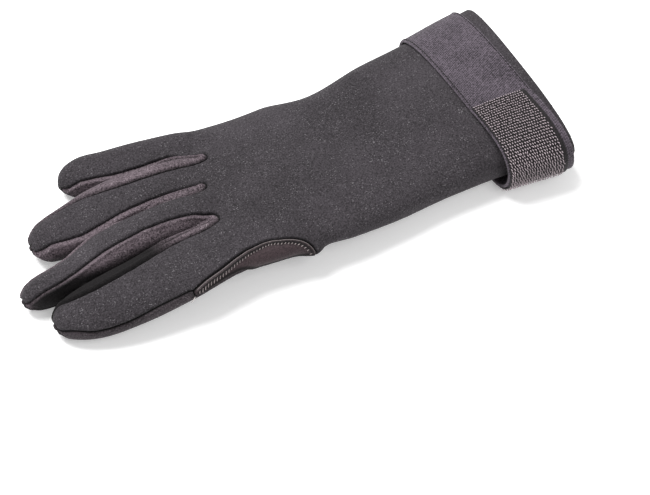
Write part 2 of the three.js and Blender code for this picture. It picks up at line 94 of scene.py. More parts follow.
# Fingers: along, sway, half_width, lift, rise, half_height, near_seam, far_seam, as in the CAD model.
INDEX_SECTIONS = [
    (0.0, 0.014, 0.41, 0.9, 0.55, 0.34, -0.9, 0.6),
    (0.157, 0.007, 0.47, 1.05, 0.53, 0.47, -0.9, 0.6),
    (0.295, 0.0, 0.485, 1.03, 0.52, 0.47, -0.9, 0.55),
    (0.433, -0.003, 0.51, 0.87, 0.52, 0.47, -0.91, 0.54),
    (0.571, -0.005, 0.49, 0.58, 0.53, 0.48, -0.91, 0.5),
    (0.71, 0.001, 0.465, 0.31, 0.53, 0.49, -0.95, 0.43),
    (0.802, 0.01, 0.43, 0.12, 0.525, 0.48, -0.96, 0.41),
    (0.885, 0.021, 0.365, 0.01, 0.505, 0.44, -0.95, 0.47),
    (0.945, 0.028, 0.27, 0.0, 0.47, 0.38, -0.86, 0.66),
    (0.982, 0.032, 0.16, 0.0, 0.45, 0.25, -0.6, 0.5),
    (1.0, 0.033, 0.04, 0.0, 0.44, 0.08, -0.5, 0.5),
]
MIDDLE_SECTIONS = [
    (0.0, -0.01, 0.42, 0.8, 0.56, 0.38, -0.75, 0.35),
    (0.155, -0.025, 0.42, 0.82, 0.53, 0.5, -0.78, 0.5),
    (0.285, -0.009, 0.472, 0.72, 0.53, 0.525, -0.5, 0.62),
    (0.448, 0.001, 0.49, 0.5, 0.545, 0.54, -0.37, 0.76),
    (0.612, -0.003, 0.476, 0.26, 0.55, 0.535, -0.42, 0.84),
    (0.707, -0.023, 0.429, 0.13, 0.55, 0.525, -0.47, 0.87),
    (0.78, -0.041, 0.381, 0.06, 0.545, 0.51, -0.54, 0.88),
    (0.862, -0.047, 0.345, 0.0, 0.53, 0.485, -0.65, 0.88),
    (0.92, -0.048, 0.31, 0.0, 0.5, 0.44, -0.7, 0.85),
    (0.965, -0.049, 0.24, 0.0, 0.475, 0.365, -0.66, 0.78),
    (0.99, -0.051, 0.14, 0.0, 0.46, 0.22, -0.6, 0.6),
    (1.0, -0.051, 0.045, 0.0, 0.455, 0.08, -0.5, 0.5),
]
RING_SECTIONS = [
    (0.0, -0.047, 0.41, 0.35, 0.66, 0.4, -0.85, 0.3),
    (0.12, -0.043, 0.49, 0.35, 0.62, 0.47, -0.67, 0.27),
    (0.209, -0.03, 0.495, 0.32, 0.6, 0.485, -0.7, 0.25),
    (0.403, 0.004, 0.485, 0.22, 0.575, 0.495, -0.78, 0.19),
    (0.547, 0.01, 0.5, 0.13, 0.57, 0.495, -0.8, 0.28),
    (0.663, 0.007, 0.49, 0.06, 0.55, 0.49, -0.86, 0.48),
    (0.74, -0.005, 0.467, 0.03, 0.535, 0.48, -0.87, 0.65),
    (0.836, -0.018, 0.432, 0.0, 0.515, 0.465, -0.79, 0.79),
    (0.915, -0.022, 0.365, 0.0, 0.495, 0.42, -0.72, 0.84),
    (0.965, -0.024, 0.255, 0.0, 0.48, 0.32, -0.66, 0.74),
    (0.99, -0.025, 0.14, 0.0, 0.475, 0.19, -0.6, 0.6),
    (1.0, -0.025, 0.045, 0.0, 0.47, 0.08, -0.5, 0.5),
]
LITTLE_SECTIONS = [
    (0.0, -0.085, 0.41, 0.15, 0.6, 0.4, -0.86, 1.0),
    (0.11, -0.064, 0.452, 0.12, 0.58, 0.45, -0.84, 1.0),
    (0.271, -0.043, 0.475, 0.08, 0.55, 0.46, -0.74, 1.0),
    (0.538, -0.015, 0.49, 0.03, 0.5, 0.46, -0.78, 1.0),
    (0.671, 0.002, 0.493, 0.0, 0.465, 0.465, -0.77, 1.0),
    (0.805, 0.022, 0.472, 0.0, 0.45, 0.45, -0.75, 1.0),
    (0.895, 0.023, 0.407, 0.0, 0.45, 0.4, -0.7, 1.0),
    (0.955, 0.023, 0.29, 0.0, 0.445, 0.31, -0.6, 1.0),
    (0.988, 0.022, 0.15, 0.0, 0.44, 0.19, -0.55, 1.0),
    (1.0, 0.022, 0.05, 0.0, 0.44, 0.08, -0.5, 1.0),
]
# The thumb: along, across, half_width, high, half_height.
THUMB_SECTIONS = [
    (0.0, 0.62, 0.42, 1.66, 0.36),
    (0.2, 0.65, 0.47, 1.22, 0.46),
    (0.37, 0.66, 0.5, 0.78, 0.5),
    (0.54, 0.665, 0.5, 0.5, 0.5),
    (0.71, 0.665, 0.49, 0.49, 0.49),
    (0.83, 0.665, 0.46, 0.475, 0.475),
    (0.92, 0.67, 0.37, 0.45, 0.42),
    (0.978, 0.67, 0.2, 0.43, 0.29),
    (1.0, 0.67, 0.05, 0.42, 0.1),
]
# The hand: along, near, far, lift, near_mid, far_mid, back, palm_near, palm_far, cuff, slant, lip.
HAND_SECTIONS = [
    (-0.115, -0.385, 0.49, 1.0, 0.46, 0.64, 0.45, 0.29, 0.46, 0.0, 0.26, 0),
    (-0.07, -0.4, 0.483, 1.0, 0.48, 0.64, 0.53, 0.31, 0.52, 0.0, 0.24, 0),
    (0.053, -0.432, 0.462, 0.95, 0.46, 0.62, 0.55, 0.32, 0.56, 0.15, 0.13, 0),
    (0.184, -0.444, 0.442, 0.75, 0.5, 0.61, 0.545, 0.37, 0.57, 0.3, 0.05, 0),
    (0.362, -0.437, 0.392, 0.36, 0.49, 0.55, 0.5, 0.42, 0.52, 0.65, 0.0, 0),
    (0.579, -0.414, 0.435, 0.0, 0.53, 0.53, 0.47, 0.5, 0.5, 1.0, 0.0, 0),
    (0.724, -0.417, 0.455, 0.0, 0.54, 0.54, 0.485, 0.51, 0.51, 1.0, 0.0, 0),
    (0.875, -0.44, 0.487, 0.0, 0.555, 0.555, 0.5, 0.525, 0.525, 1.0, 0.0, 0.15),
    (1.0, -0.468, 0.511, 0.0, 0.56, 0.56, 0.5, 0.53, 0.53, 1.0, 0.0, 1),
]
# The thumb patch's seam on the back of the hand: along the hand, across the knuckles.
PATCH_EDGE = [
    (-0.31, -0.418), (-0.275, -0.405), (-0.213, -0.388), (-0.15, -0.365), (-0.088, -0.347),
    (-0.044, -0.342), (0.008, -0.361), (0.042, -0.381), (0.079, -0.42), (0.098, -0.46),
]
# The leaf-shaped ends of the strips between the fingers: along the hand, sway from the slit.
LEAF_ENDS = [(-0.124, -0.024), (-0.096, -0.04), (-0.04, -0.117)]

FINGERS = [
    ("index", INDEX_LENGTH, INDEX_WIDTH, INDEX_SECTIONS),
    ("middle", MIDDLE_LENGTH, MIDDLE_WIDTH, MIDDLE_SECTIONS),
    ("ring", RING_LENGTH, RING_WIDTH, RING_SECTIONS),
    ("little", LITTLE_LENGTH, LITTLE_WIDTH, LITTLE_SECTIONS),
]

# The sections' own frame starts at the root line of the fingers; the CAD model's starts under its middle.
palm_low, palm_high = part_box("palm_panel")
back_low, back_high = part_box("back_panel")
SHIFT_X = palm_high.x / MM - (HAND_LENGTH + PALM_LIP)
SHIFT_Y = min(palm_low.y, back_low.y) / MM - HAND_SECTIONS[-1][1] * KNUCKLE_WIDTH

# Sewing and softness.
LEAF_TAPERS = [8.5, 11.0, 16.0]  # length over which each strip narrows to its nose
LEAF_NOSES = [3.8, 2.4, 2.6]  # half widths of the strips' noses
LEAF_NARROWING = [0.0, 3.0, 0.0]  # how much of each strip the near finger's back panel hides near the knuckles
LEAF_HIDDEN = (28.0, 60.0)  # length from the nose over which that ends
WEB_OPENS = [(0.5, 12.0), (18.0, 48.0), (14.0, 40.0)]  # where the gap in each strip starts and is fully open
# Crease sewn into each strip: place across it at its nose and 25 mm farther on, and depth.
LEAF_CREASES = [(0.52, 0.3, 3.0), (0.1, 0.1, 0.0), (0.62, 0.8, 2.6)]
CREASE_RUN = (2.6, 5.0, 26.0, 44.0)  # lengths from the nose where the crease starts, is full, fades and ends
WEB_DEPTH = 9.0
TIP_WRAP = 10.0  # length at a fingertip over which the back panel comes down round it
TIP_DROP = 3.2
OPEN_SEAM = 0.4  # gap between two panels of the dressed glove
BEAK_PLACE = (13.5, 14.5)  # along X and up, the patch's corner
BEAK_LENGTH = 4.2

# Fineness.
VOXEL = 0.6  # of the cloth body, in millimetres
RIM_SPARE = 8.0  # length of body past the rim that is cut off


# Numbers

def flow(knots, values, at):
    """Values at places between knots, on a smooth curve that never overshoots them."""
    knots = np.asarray(knots, float)
    values = np.asarray(values, float)
    width = np.diff(knots)[:, None]
    slope = np.diff(values, axis=0) / width
    tangent = np.zeros_like(values)
    tangent[0] = slope[0]
    tangent[-1] = slope[-1]
    a, b = slope[:-1], slope[1:]
    same = a * b > 0
    wa = 2 * width[1:] + width[:-1]
    wb = width[1:] + 2 * width[:-1]
    inner = (wa + wb) / np.where(same, wa / np.where(same, a, 1) + wb / np.where(same, b, 1), 1)
    tangent[1:-1] = np.where(same, inner, 0)
    at = np.asarray(at, float)
    i = np.clip(np.searchsorted(knots, at, side="right") - 1, 0, len(knots) - 2)
    h = width[i]
    t = ((at - knots[i]) / h[:, 0])[:, None]
    return (
        values[i] * (2 * t**3 - 3 * t**2 + 1)
        + tangent[i] * h * (t**3 - 2 * t**2 + t)
        + values[i + 1] * (3 * t**2 - 2 * t**3)
        + tangent[i + 1] * h * (t**3 - t**2)
    )


def round_points(angles, exponent):
    c, s = np.cos(angles), np.sin(angles)
    return np.sign(c) * np.abs(c) ** (2 / exponent), np.sign(s) * np.abs(s) ** (2 / exponent)


def smoothstep(value, low, high):
    t = np.clip((value - low) / (high - low), 0, 1)
    return t * t * (3 - 2 * t)


def hump(distance, centre, width):
    return np.exp(-(((distance - centre) / width) ** 2))


def curve_points(points, step):
    """A smooth line through [x, y] points, with a point at each step."""
    points = np.asarray(points, float)
    t = np.concatenate([[0], np.cumsum(np.hypot(*np.diff(points, axis=0).T))])
    return flow(t, points, np.linspace(0, t[-1], max(int(t[-1] / step), 2)))


def noise_at(points, size, seed):
    """Smooth noise from -1 to 1 with features of a size in millimetres."""
    offset = Vector((seed * 17.3, seed * 5.1, seed * 9.7))
    return np.array([noise.noise(Vector(p) / size + offset) for p in points.tolist()])


# Sections of the glove

class Finger:
    """One finger's smooth sections, from the root line to its tip."""

    def __init__(self, name, length, width, table, start):
        self.name, self.length, self.width = name, length, width
        self.centre = start + width / 2
        rows = np.array(table, float)
        x = -rows[:, 0] * length
        half = rows[:, 2] * width
        knots = np.concatenate([[0], np.cumsum(np.hypot(np.diff(x), np.diff(half)))])
        self.rows = flow(knots, rows, np.linspace(0, knots[-1], int(knots[-1] / 0.8)))

    def section(self):
        along, sway, half_width, lift, rise, half_height = self.rows[:, :6].T
        x = -along * self.length
        y = self.centre + sway * KNUCKLE_WIDTH
        z = lift * THUMB_THICKNESS + rise * FINGER_THICKNESS
        root = 0.75 + 0.25 * smoothstep(along, 0, 0.13)
        return x, y, z, root * half_width * self.width, root * half_height * FINGER_THICKNESS

    def rings(self, sides):
        x, y, z, half_width, half_height = self.section()
        across, up = round_points(np.linspace(0, 2 * math.pi, sides, endpoint=False), FINGER_ROUNDNESS)
        points = np.empty((len(x), sides, 3))
        points[..., 0] = x[:, None]
        points[..., 1] = y[:, None] + half_width[:, None] * across
        points[..., 2] = np.maximum(z[:, None] + half_height[:, None] * up, 0)
        return points

    def seam(self, column, start):
        """The back panel's seam from a place along X to the fingertip: x, y and the height of the surface."""
        x, y, z, half_width, half_height = self.section()
        share = self.rows[:, column]
        wrap = smoothstep(-x, self.length - TIP_WRAP, self.length - 1)
        share = share + (np.sign(share) * 0.96 - share) * wrap
        top = z + half_height * np.maximum(1 - np.abs(share) ** FINGER_ROUNDNESS, 0) ** (1 / FINGER_ROUNDNESS)
        line = np.column_stack([x, y + share * half_width, top])
        return line[x < start][:-1]


def make_fingers():
    made = []
    start = NEAR_EDGE
    for name, length, width, table in FINGERS:
        made.append(Finger(name, length, width, table, start))
        start += width + FINGER_SPACING
    return made


fingers = make_fingers()
hand_table = np.array(HAND_SECTIONS, float)
hand_knots = hand_table[:, 0] * HAND_LENGTH


def hand_rows(x):
    """The hand's section values at places along X. Past the rim the section stays the rim's."""
    return flow(hand_knots, hand_table, np.clip(x, hand_knots[0], hand_knots[-1]))


def hand_points(x, angles, with_lip):
    """Points on the hand at places along X and angles round the section."""
    rows = hand_rows(x)
    near, far, lift, near_mid, far_mid, back, palm_near, palm_far, cuff, slant, lip = rows[:, 1:].T
    unit = FINGER_THICKNESS + (CUFF_HEIGHT - FINGER_THICKNESS) * cuff
    across, up = round_points(angles, HAND_ROUNDNESS)
    f = (across + 1) / 2
    middle = lift * THUMB_THICKNESS * (1 - f) + unit * (near_mid + (far_mid - near_mid) * f)
    depth = unit * (palm_near + (palm_far - palm_near) * f)
    half = np.where(up > 0, unit * back, depth)
    shift = slant * KNUCKLE_WIDTH * (f - 0.5)
    if with_lip:
        shift = shift + lip * PALM_LIP * (1 - up) / 2
    y = KNUCKLE_WIDTH * (near + (far - near) * f)
    return np.column_stack([x + shift, y, np.maximum(middle + half * up, cuff * CUFF_FLOOR)])


def hand_rings(sides):
    places = np.linspace(hand_knots[0], HAND_LENGTH + RIM_SPARE, 110)
    angles = np.linspace(0, 2 * math.pi, sides, endpoint=False)
    return np.array([hand_points(np.full(sides, x), angles, False) for x in places])


def thumb_section():
    rows = np.array(THUMB_SECTIONS, float)
    x = rows[:, 0] * THUMB_LENGTH
    half = rows[:, 2] * THUMB_WIDTH
    knots = np.concatenate([[0], np.cumsum(np.hypot(np.diff(x), np.diff(half)))])
    along, across, half_width, high, half_height = flow(knots, rows, np.linspace(0, knots[-1], 110)).T
    return (
        THUMB_ROOT - along * THUMB_LENGTH,
        NEAR_EDGE + across * INDEX_WIDTH,
        high * THUMB_THICKNESS,
        half_width * THUMB_WIDTH,
        half_height * THUMB_THICKNESS,
    )


def thumb_rings(sides):
    x, y, z, half_width, half_height = thumb_section()
    across, up = round_points(np.linspace(0, 2 * math.pi, sides, endpoint=False), THUMB_ROUNDNESS)
    points = np.empty((len(x), sides, 3))
    points[..., 0] = x[:, None]
    points[..., 1] = y[:, None] + half_width[:, None] * across
    points[..., 2] = np.maximum(z[:, None] + half_height[:, None] * up, 0)
    return points


def inside_thumb(points, cover):
    """Whether points lie inside the thumb's tube with a cover added."""
    x, y, z, half_width, half_height = [v[::-1] for v in thumb_section()]
    at = points[:, 0]
    values = [np.interp(at, x, v) for v in (y, z, half_width, half_height)]
    across = np.abs(points[:, 1] - values[0]) / np.maximum(values[2] + cover, 0.1)
    up = np.abs(points[:, 2] - values[1]) / np.maximum(values[3] + cover, 0.1)
    return (across**THUMB_ROUNDNESS + up**THUMB_ROUNDNESS < 1) & (at > x[0] - cover) & (at < x[-1])


# Meshes

def ring_faces(rings, sides):
    """Faces of a closed tube through rings, with its two ends closed."""
    faces = []
    for r in range(rings - 1):
        for i in range(sides):
            j = (i + 1) % sides
            faces.append((r * sides + i, r * sides + j, (r + 1) * sides + j, (r + 1) * sides + i))
    faces.append(tuple(range(sides))[::-1])
    faces.append(tuple(range((rings - 1) * sides, rings * sides)))
    return faces


def raw_object(name, points, faces):
    mesh = bpy.data.meshes.new(name)
    mesh.from_pydata(np.asarray(points).tolist(), [], [tuple(f) for f in faces])
    mesh.update()
    made = bpy.data.objects.new(name, mesh)
    bpy.context.scene.collection.objects.link(made)
    return made


def mesh_arrays(mesh):
    points = np.empty(len(mesh.vertices) * 3)
    mesh.vertices.foreach_get("co", points)
    corners = np.empty(len(mesh.loops), int)
    mesh.loops.foreach_get("vertex_index", corners)
    counts = np.empty(len(mesh.polygons), int)
    mesh.polygons.foreach_get("loop_total", counts)
    return points.reshape(-1, 3), corners, counts


def remeshed(tubes, voxel):
    """One closed surface of even quads round several closed tubes."""
    points, faces = [], []
    for rings in tubes:
        start = sum(len(p) for p in points)
        points.append(rings.reshape(-1, 3))
        faces += [tuple(start + i for i in face) for face in ring_faces(*rings.shape[:2])]
    made = raw_object("cloth_body", np.concatenate(points), faces)
    change = made.modifiers.new("even", "REMESH")
    change.mode = "VOXEL"
    change.voxel_size = voxel
    depsgraph = bpy.context.evaluated_depsgraph_get()
    mesh = made.evaluated_get(depsgraph).to_mesh()
    points, corners, _ = mesh_arrays(mesh)
    bpy.data.objects.remove(made)
    return points, corners.reshape(-1, 4)


def edges_of(faces):
    pairs = np.concatenate([np.column_stack([faces[:, i], faces[:, (i + 1) % 4]]) for i in range(4)])
    return np.unique(np.sort(pairs, axis=1), axis=0)


def averaged(values, edges):
    """The mean of each vertex's neighbours."""
    total = np.zeros_like(values)
    count = np.zeros(len(values))
    for a, b in ((0, 1), (1, 0)):
        np.add.at(total, edges[:, a], values[edges[:, b]])
        np.add.at(count, edges[:, a], 1)
    count = np.maximum(count, 1)
    return total / (count[:, None] if values.ndim > 1 else count)


def evened(points, edges, rounds):
    """Smooths away the steps of the voxels, with no shrinking."""
    for _ in range(rounds):
        points = points + 0.5 * (averaged(points, edges) - points)
        points = points - 0.52 * (averaged(points, edges) - points)
    return points


def vertex_normals(points, faces):
    a, b, c, d = (points[faces[:, i]] for i in range(4))
    face_normals = np.cross(c - a, d - b)
    normals = np.zeros_like(points)
    for i in range(4):
        np.add.at(normals, faces[:, i], face_normals)
    return normals / np.maximum(np.linalg.norm(normals, axis=1), 1e-9)[:, None]


def in_outline(points, outline):
    """Which [x, y] points lie inside a closed outline."""
    x, y = points[:, 0], points[:, 1]
    inside = np.zeros(len(points), bool)
    ends = np.roll(outline, -1, axis=0)
    for (ax, ay), (bx, by) in zip(outline.tolist(), ends.tolist()):
        if ay == by:
            continue
        crosses = (ay > y) != (by > y)
        inside ^= crosses & (x < (bx - ax) * (y - ay) / (by - ay) + ax)
    return inside


# Seams, seen from above

def leaf_end(i):
    slit = fingers[i].centre + fingers[i].width / 2 + FINGER_SPACING / 2
    along, sway = LEAF_ENDS[i]
    return np.array([along * HAND_LENGTH, slit + sway * KNUCKLE_WIDTH])


def seam_values(i, x):
    """Places across and heights of the seams on both sides of a strip, at places along X."""
    near = fingers[i].seam(7, 0)[::-1]
    far = fingers[i + 1].seam(6, 0)[::-1]
    return [np.interp(x, line[:, 0], line[:, column]) for column in (1, 2) for line in (near, far)]


def leaf_sides(i, x):
    """The strip's two edges at places along X. Near its end it narrows to a round nose."""
    end = leaf_end(i)
    near, far, _, _ = seam_values(i, x)
    nose = LEAF_NOSES[i]
    taper = LEAF_TAPERS[i]
    distance = end[0] - x
    near = near + LEAF_NARROWING[i] * (1 - smoothstep(distance, *LEAF_HIDDEN))
    full = np.clip((distance - nose) / (taper - nose), 0, 1)
    full = full * (2 - full)
    round_end = np.sqrt(1 - (1 - np.clip(distance / nose, 0, 1)) ** 2)
    half = (nose + ((far - near) / 2 - nose) * full) * round_end
    end_middle = end[1] + LEAF_NARROWING[i] / 2
    middle = end_middle + ((near + far) / 2 - end_middle) * smoothstep(distance, 0, taper)
    return middle - half, middle + half


def leaf_crease(i, points):
    """How near points are to the crease inside a strip, from 0 to 1."""
    near, far = leaf_sides(i, points[:, 0])
    distance = leaf_end(i)[0] - points[:, 0]
    at_nose, at_end, _ = LEAF_CREASES[i]
    share = at_nose + (at_end - at_nose) * np.clip(distance / 25, 0, 1)
    away = points[:, 1] - near - share * (far - near)
    start, full, fade, stop = CREASE_RUN
    return hump(away, 0, 0.85) * smoothstep(distance, start, full) * (1 - smoothstep(distance, fade, stop))


def leaf_outline(i):
    """The seam of the strip between two fingers, from the near finger's tip round the leaf to the far one's."""
    end = leaf_end(i)
    nose = end[0] - LEAF_NOSES[i] * (1 - np.cos(np.linspace(math.pi / 2, 0, 14)))
    sides = []
    for finger, side in ((fingers[i], 0), (fingers[i + 1], 1)):
        tip = finger.seam(7 - side, 0)[-1][0]
        x = np.concatenate([np.arange(tip, nose[0], 0.7), nose])
        sides.append(np.column_stack([x, leaf_sides(i, x)[side]]))
    return np.concatenate([sides[0], sides[1][::-1][1:]])


def web_rings(i, sides):
    """Cloth that closes the gap between two fingers near the knuckles and sinks into it towards the tips."""
    end = leaf_end(i)
    x = np.linspace(end[0] + 2, end[0] - WEB_OPENS[i][1], 60)
    near, far, near_top, far_top = seam_values(i, x)
    left, right = leaf_sides(i, np.minimum(x, end[0] - 2))
    top = np.minimum(near_top, far_top) + 0.35 - WEB_DEPTH * smoothstep(end[0] - x, *WEB_OPENS[i])
    half_height = 3.5
    across, up = round_points(np.linspace(0, 2 * math.pi, sides, endpoint=False), 2.6)
    points = np.empty((len(x), sides, 3))
    points[..., 0] = x[:, None]
    points[..., 1] = ((left + right) / 2)[:, None] + ((right - left) / 2 + 1.2)[:, None] * across
    points[..., 2] = (top - half_height)[:, None] + half_height * up
    return points


BEYOND_SIDE = KNUCKLE_WIDTH
BEYOND_RIM = HAND_LENGTH + CUFF_HEIGHT
BEYOND_TIPS = -MIDDLE_LENGTH - CUFF_HEIGHT / 2
leaves = [leaf_outline(i) for i in range(3)]
patch_line = curve_points(np.array(PATCH_EDGE) * (HAND_LENGTH, KNUCKLE_WIDTH), 0.8)
index_near_seam = fingers[0].seam(6, patch_line[0][0])[:, :2]
little_near_seam_tip = leaves[2][-1]


def strip_region(i):
    line = leaves[i]
    return np.concatenate([[[BEYOND_TIPS, line[0][1]]], line, [[BEYOND_TIPS, line[-1][1]]]])


def patch_region():
    ends = [[patch_line[-1][0], -BEYOND_SIDE], [patch_line[0][0], -BEYOND_SIDE]]
    return np.concatenate([patch_line, ends])


def back_region():
    parts = [
        [[BEYOND_RIM, BEYOND_SIDE], [little_near_seam_tip[0] - WALL, BEYOND_SIDE]],
        [[little_near_seam_tip[0] - WALL, little_near_seam_tip[1]]],
        leaves[2][::-1], leaves[1][::-1], leaves[0][::-1],
        index_near_seam[::-1], patch_line,
        [[patch_line[-1][0], -BEYOND_SIDE], [BEYOND_RIM, -BEYOND_SIDE]],
    ]
    return np.concatenate([np.asarray(p, float) for p in parts])


def tip_nearness(points):
    """1 at the end of each fingertip, 0 away from it."""
    near = np.zeros(len(points))
    for finger in fingers:
        x, y, _, _, _ = finger.section()
        own = np.abs(points[:, 1] - y[-1]) < finger.width / 2
        near[own] = np.maximum(near, 1 - smoothstep(points[:, 0], x[-1] + 1, x[-1] + TIP_WRAP))[own]
    return near


def parting_height(points):
    """Height of the side seams that part the back from the palm, over places on the glove."""
    x = points[:, 0]
    row = hand_rows(x)
    unit = FINGER_THICKNESS + (CUFF_HEIGHT - FINGER_THICKNESS) * row[:, 9]
    hand_near = row[:, 3] * THUMB_THICKNESS + (row[:, 4] - SIDE_SEAM_DROP * row[:, 7]) * unit
    hand_far = row[:, 5] * unit
    heights = []
    for finger, hand in ((fingers[0], hand_near), (fingers[3], hand_far)):
        fx, _, fz, _, _ = finger.section()
        own = np.interp(x, fx[::-1], fz[::-1])
        heights.append(own + (hand - own) * smoothstep(x, -LITTLE_LENGTH / 4 - 6, -LITTLE_LENGTH / 4 + 6))
    near, far = heights
    height = near + (far - near) * (points[:, 1] - NEAR_EDGE) / KNUCKLE_WIDTH
    return height - TIP_DROP * tip_nearness(points)


def rim_place(z):
    """Where the rim lies along X at a height: the palm side reaches farther than the back."""
    row = hand_table[-1]
    middle = row[4] * CUFF_HEIGHT
    half = np.where(z > middle, row[6], row[7]) * CUFF_HEIGHT
    return HAND_LENGTH + PALM_LIP * np.clip((1 - (z - middle) / half) / 2, 0, 1)


PALM, BACK, PATCH = 0, 1, 5
REGION_NAMES = {
    PALM: "palm_panel", BACK: "back_panel", 2: "strip_index_middle", 3: "strip_middle_ring",
    4: "strip_ring_little", PATCH: "thumb_patch",
}


def regions_of(centres):
    upper = centres[:, 2] > parting_height(centres)
    region = np.zeros(len(centres), int)
    region[in_outline(centres, back_region()) & upper] = BACK
    region[in_outline(centres, patch_region()) & upper] = PATCH
    for i in range(3):
        region[in_outline(centres, strip_region(i))] = 2 + i
    return region


def border_edges(faces, region):
    """Edges between two regions, the regions of each, and the edges on the rim."""
    pairs = np.concatenate([np.column_stack([faces[:, i], faces[:, (i + 1) % 4]]) for i in range(4)])
    owner = np.tile(region, 4)
    pairs = np.sort(pairs, axis=1)
    order = np.lexsort((pairs[:, 1], pairs[:, 0]))
    pairs, owner = pairs[order], owner[order]
    same = (pairs[1:] == pairs[:-1]).all(axis=1)
    second = np.concatenate([[False], same])
    first = np.concatenate([same, [False]])
    paired = np.flatnonzero(first)
    seam = paired[owner[paired] != owner[paired + 1]]
    alone = np.flatnonzero(~first & ~second)
    return pairs[seam], np.column_stack([owner[seam], owner[seam + 1]]), pairs[alone]


# Body of cloth: the hand and its fingers as one skin, then cut into panels.

def blended(points, edges):
    """Melts the roots of the fingers into the back of the hand."""
    x = points[:, 0]
    weight = smoothstep(x, -40, -12) * (1 - smoothstep(x, 18, 36)) * smoothstep(points[:, 2], 6, 10)
    for i in range(3):
        inside = in_outline(points, strip_region(i))
        weight[inside] *= 0.12 + (0.7 * hump(x[inside], hand_knots[0], 7.0) if i else 0)
    edges = edges[(weight[edges] > 0).any(axis=1)]
    for _ in range(230):
        points = points + (0.6 * weight)[:, None] * (averaged(points, edges) - points)
    return points


def beaked(points):
    """Pushes out the corner that the patch makes on the thumb's side of the hand."""
    from_corner = ((points[:, 0] - BEAK_PLACE[0]) / 5.0) ** 2 + ((points[:, 2] - BEAK_PLACE[1]) / 5.0) ** 2
    push = BEAK_LENGTH * np.exp(-from_corner) * smoothstep(-points[:, 1], 30, 40)
    return points + push[:, None] * np.array([0.35, -1.0, -0.1])


def make_skin():
    tubes = [hand_rings(150)] + [finger.rings(72) for finger in fingers] + [web_rings(i, 32) for i in range(3)]
    points, faces = remeshed(tubes, VOXEL)
    edges = edges_of(faces)
    points = evened(points, edges, 4)
    points = blended(points, edges)
    points = beaked(points)
    centres = points[faces].mean(axis=1)
    kept = centres[:, 0] < rim_place(centres[:, 2])
    kept &= ~(inside_thumb(centres, -WALL) & (centres[:, 2] < parting_height(centres)))
    faces = faces[kept]
    used, faces = np.unique(faces, return_inverse=True)
    return points[used], faces.reshape(-1, 4)


def straighten(points, faces, region):
    """Smooths the steps out of the borders between regions, and keeps them on the skin."""
    tree = BVHTree.FromPolygons(points.tolist(), faces.tolist())
    seam, _, rim = border_edges(faces, region)
    on_rim = np.zeros(len(points), bool)
    on_rim[np.unique(rim)] = True
    at_cuff = on_rim & (points[:, 0] > HAND_LENGTH - 5)
    line = np.concatenate([seam, rim])
    on_line = np.zeros(len(points), bool)
    on_line[np.unique(line)] = True
    for _ in range(14):
        moved = averaged(points, line)
        points[on_line] += 0.5 * (moved[on_line] - points[on_line])
    points[at_cuff, 0] = rim_place(points[at_cuff, 2])
    for i in np.flatnonzero(on_line & ~at_cuff):
        points[i] = tree.find_nearest(points[i])[0]
    edges = edges_of(faces)
    near = on_line.copy()
    for _ in range(4):
        near[edges[near[edges[:, 0]], 1]] = True
        near[edges[near[edges[:, 1]], 0]] = True
    near &= ~on_line
    for _ in range(5):
        points[near] += 0.5 * (averaged(points, edges)[near] - points[near])
    for i in np.flatnonzero(near):
        points[i] = tree.find_nearest(points[i])[0]
    return points


def line_tree(places):
    tree = KDTree(len(places))
    for i, place in enumerate(places.tolist()):
        tree.insert(place, i)
    tree.balance()
    return tree


def distance_to(points, places, reach):
    """Distance of each point to the nearest of some places, or reach if it is farther, and that place's number."""
    tree = line_tree(places)
    found = [tree.find(p)[1:] for p in points.tolist()]
    numbers, near = np.array(found).T
    return np.minimum(near, reach), numbers.astype(int)


def seam_darkness(places):
    """How dark the painted shade in the seams is: the far edges of the strips face the light and stay paler."""
    dark = np.ones(len(places))
    for i in range(3):
        _, far = leaf_sides(i, places[:, 0])
        beside = (np.abs(places[:, 1] - far) < 1.5) & (places[:, 0] < leaf_end(i)[0] - LEAF_NOSES[i])
        dark[beside] = FAR_EDGE_DARKNESS[i]
    return dark


# Strength of the painted seam shade beside each strip's far edge.
FAR_EDGE_DARKNESS = (0.6, 0.1, 0.4)


class Skin:
    """The glove's outer skin with its panels, before the seams are pressed in."""

    def __init__(self):
        self.points, self.faces = make_skin()
        self.region = regions_of(self.points[self.faces].mean(axis=1))
        self.points = straighten(self.points, self.faces, self.region)
        self.normals = vertex_normals(self.points, self.faces)
        self.edges = edges_of(self.faces)
        for _ in range(3):
            self.normals = self.normals + averaged(self.normals, self.edges)
            self.normals /= np.maximum(np.linalg.norm(self.normals, axis=1), 1e-9)[:, None]
        seam, sides, rim = border_edges(self.faces, self.region)
        self.seam, self.sides, self.rim = seam, sides, rim
        ends = self.points[seam]
        self.seam_points = np.concatenate([ends[:, 0], ends.mean(axis=1)])
        self.seam_distance, nearest = distance_to(self.points, self.seam_points, 12.0)
        self.seam_darkness = seam_darkness(self.seam_points)[nearest]


skin = Skin()
print("skin", len(skin.points), len(skin.faces))


# How each panel's surface goes near its seams: depth of the valley, height of the roll beside it, distance
# and width of the roll, and how far the panel swells between its seams.
SEAM_SHAPES = {
    PALM: (0.9, 0.1, 1.6, 1.0, 0.0),
    BACK: (1.15, 0.14, 1.5, 0.9, 0.0),
    2: (1.2, 0.7, 1.4, 0.9, 0.4),
    3: (0.8, 0.8, 1.4, 1.0, 1.5),
    4: (1.0, 0.7, 1.4, 0.9, 0.6),
    PATCH: (0.7, 0.95, 1.2, 0.8, 0.5),
}
VALLEY_WIDTH = 0.6
CREASE_WIDTH = 0.55  # of the line of painted shade along a seam
RIM_ROUNDING = 0.7


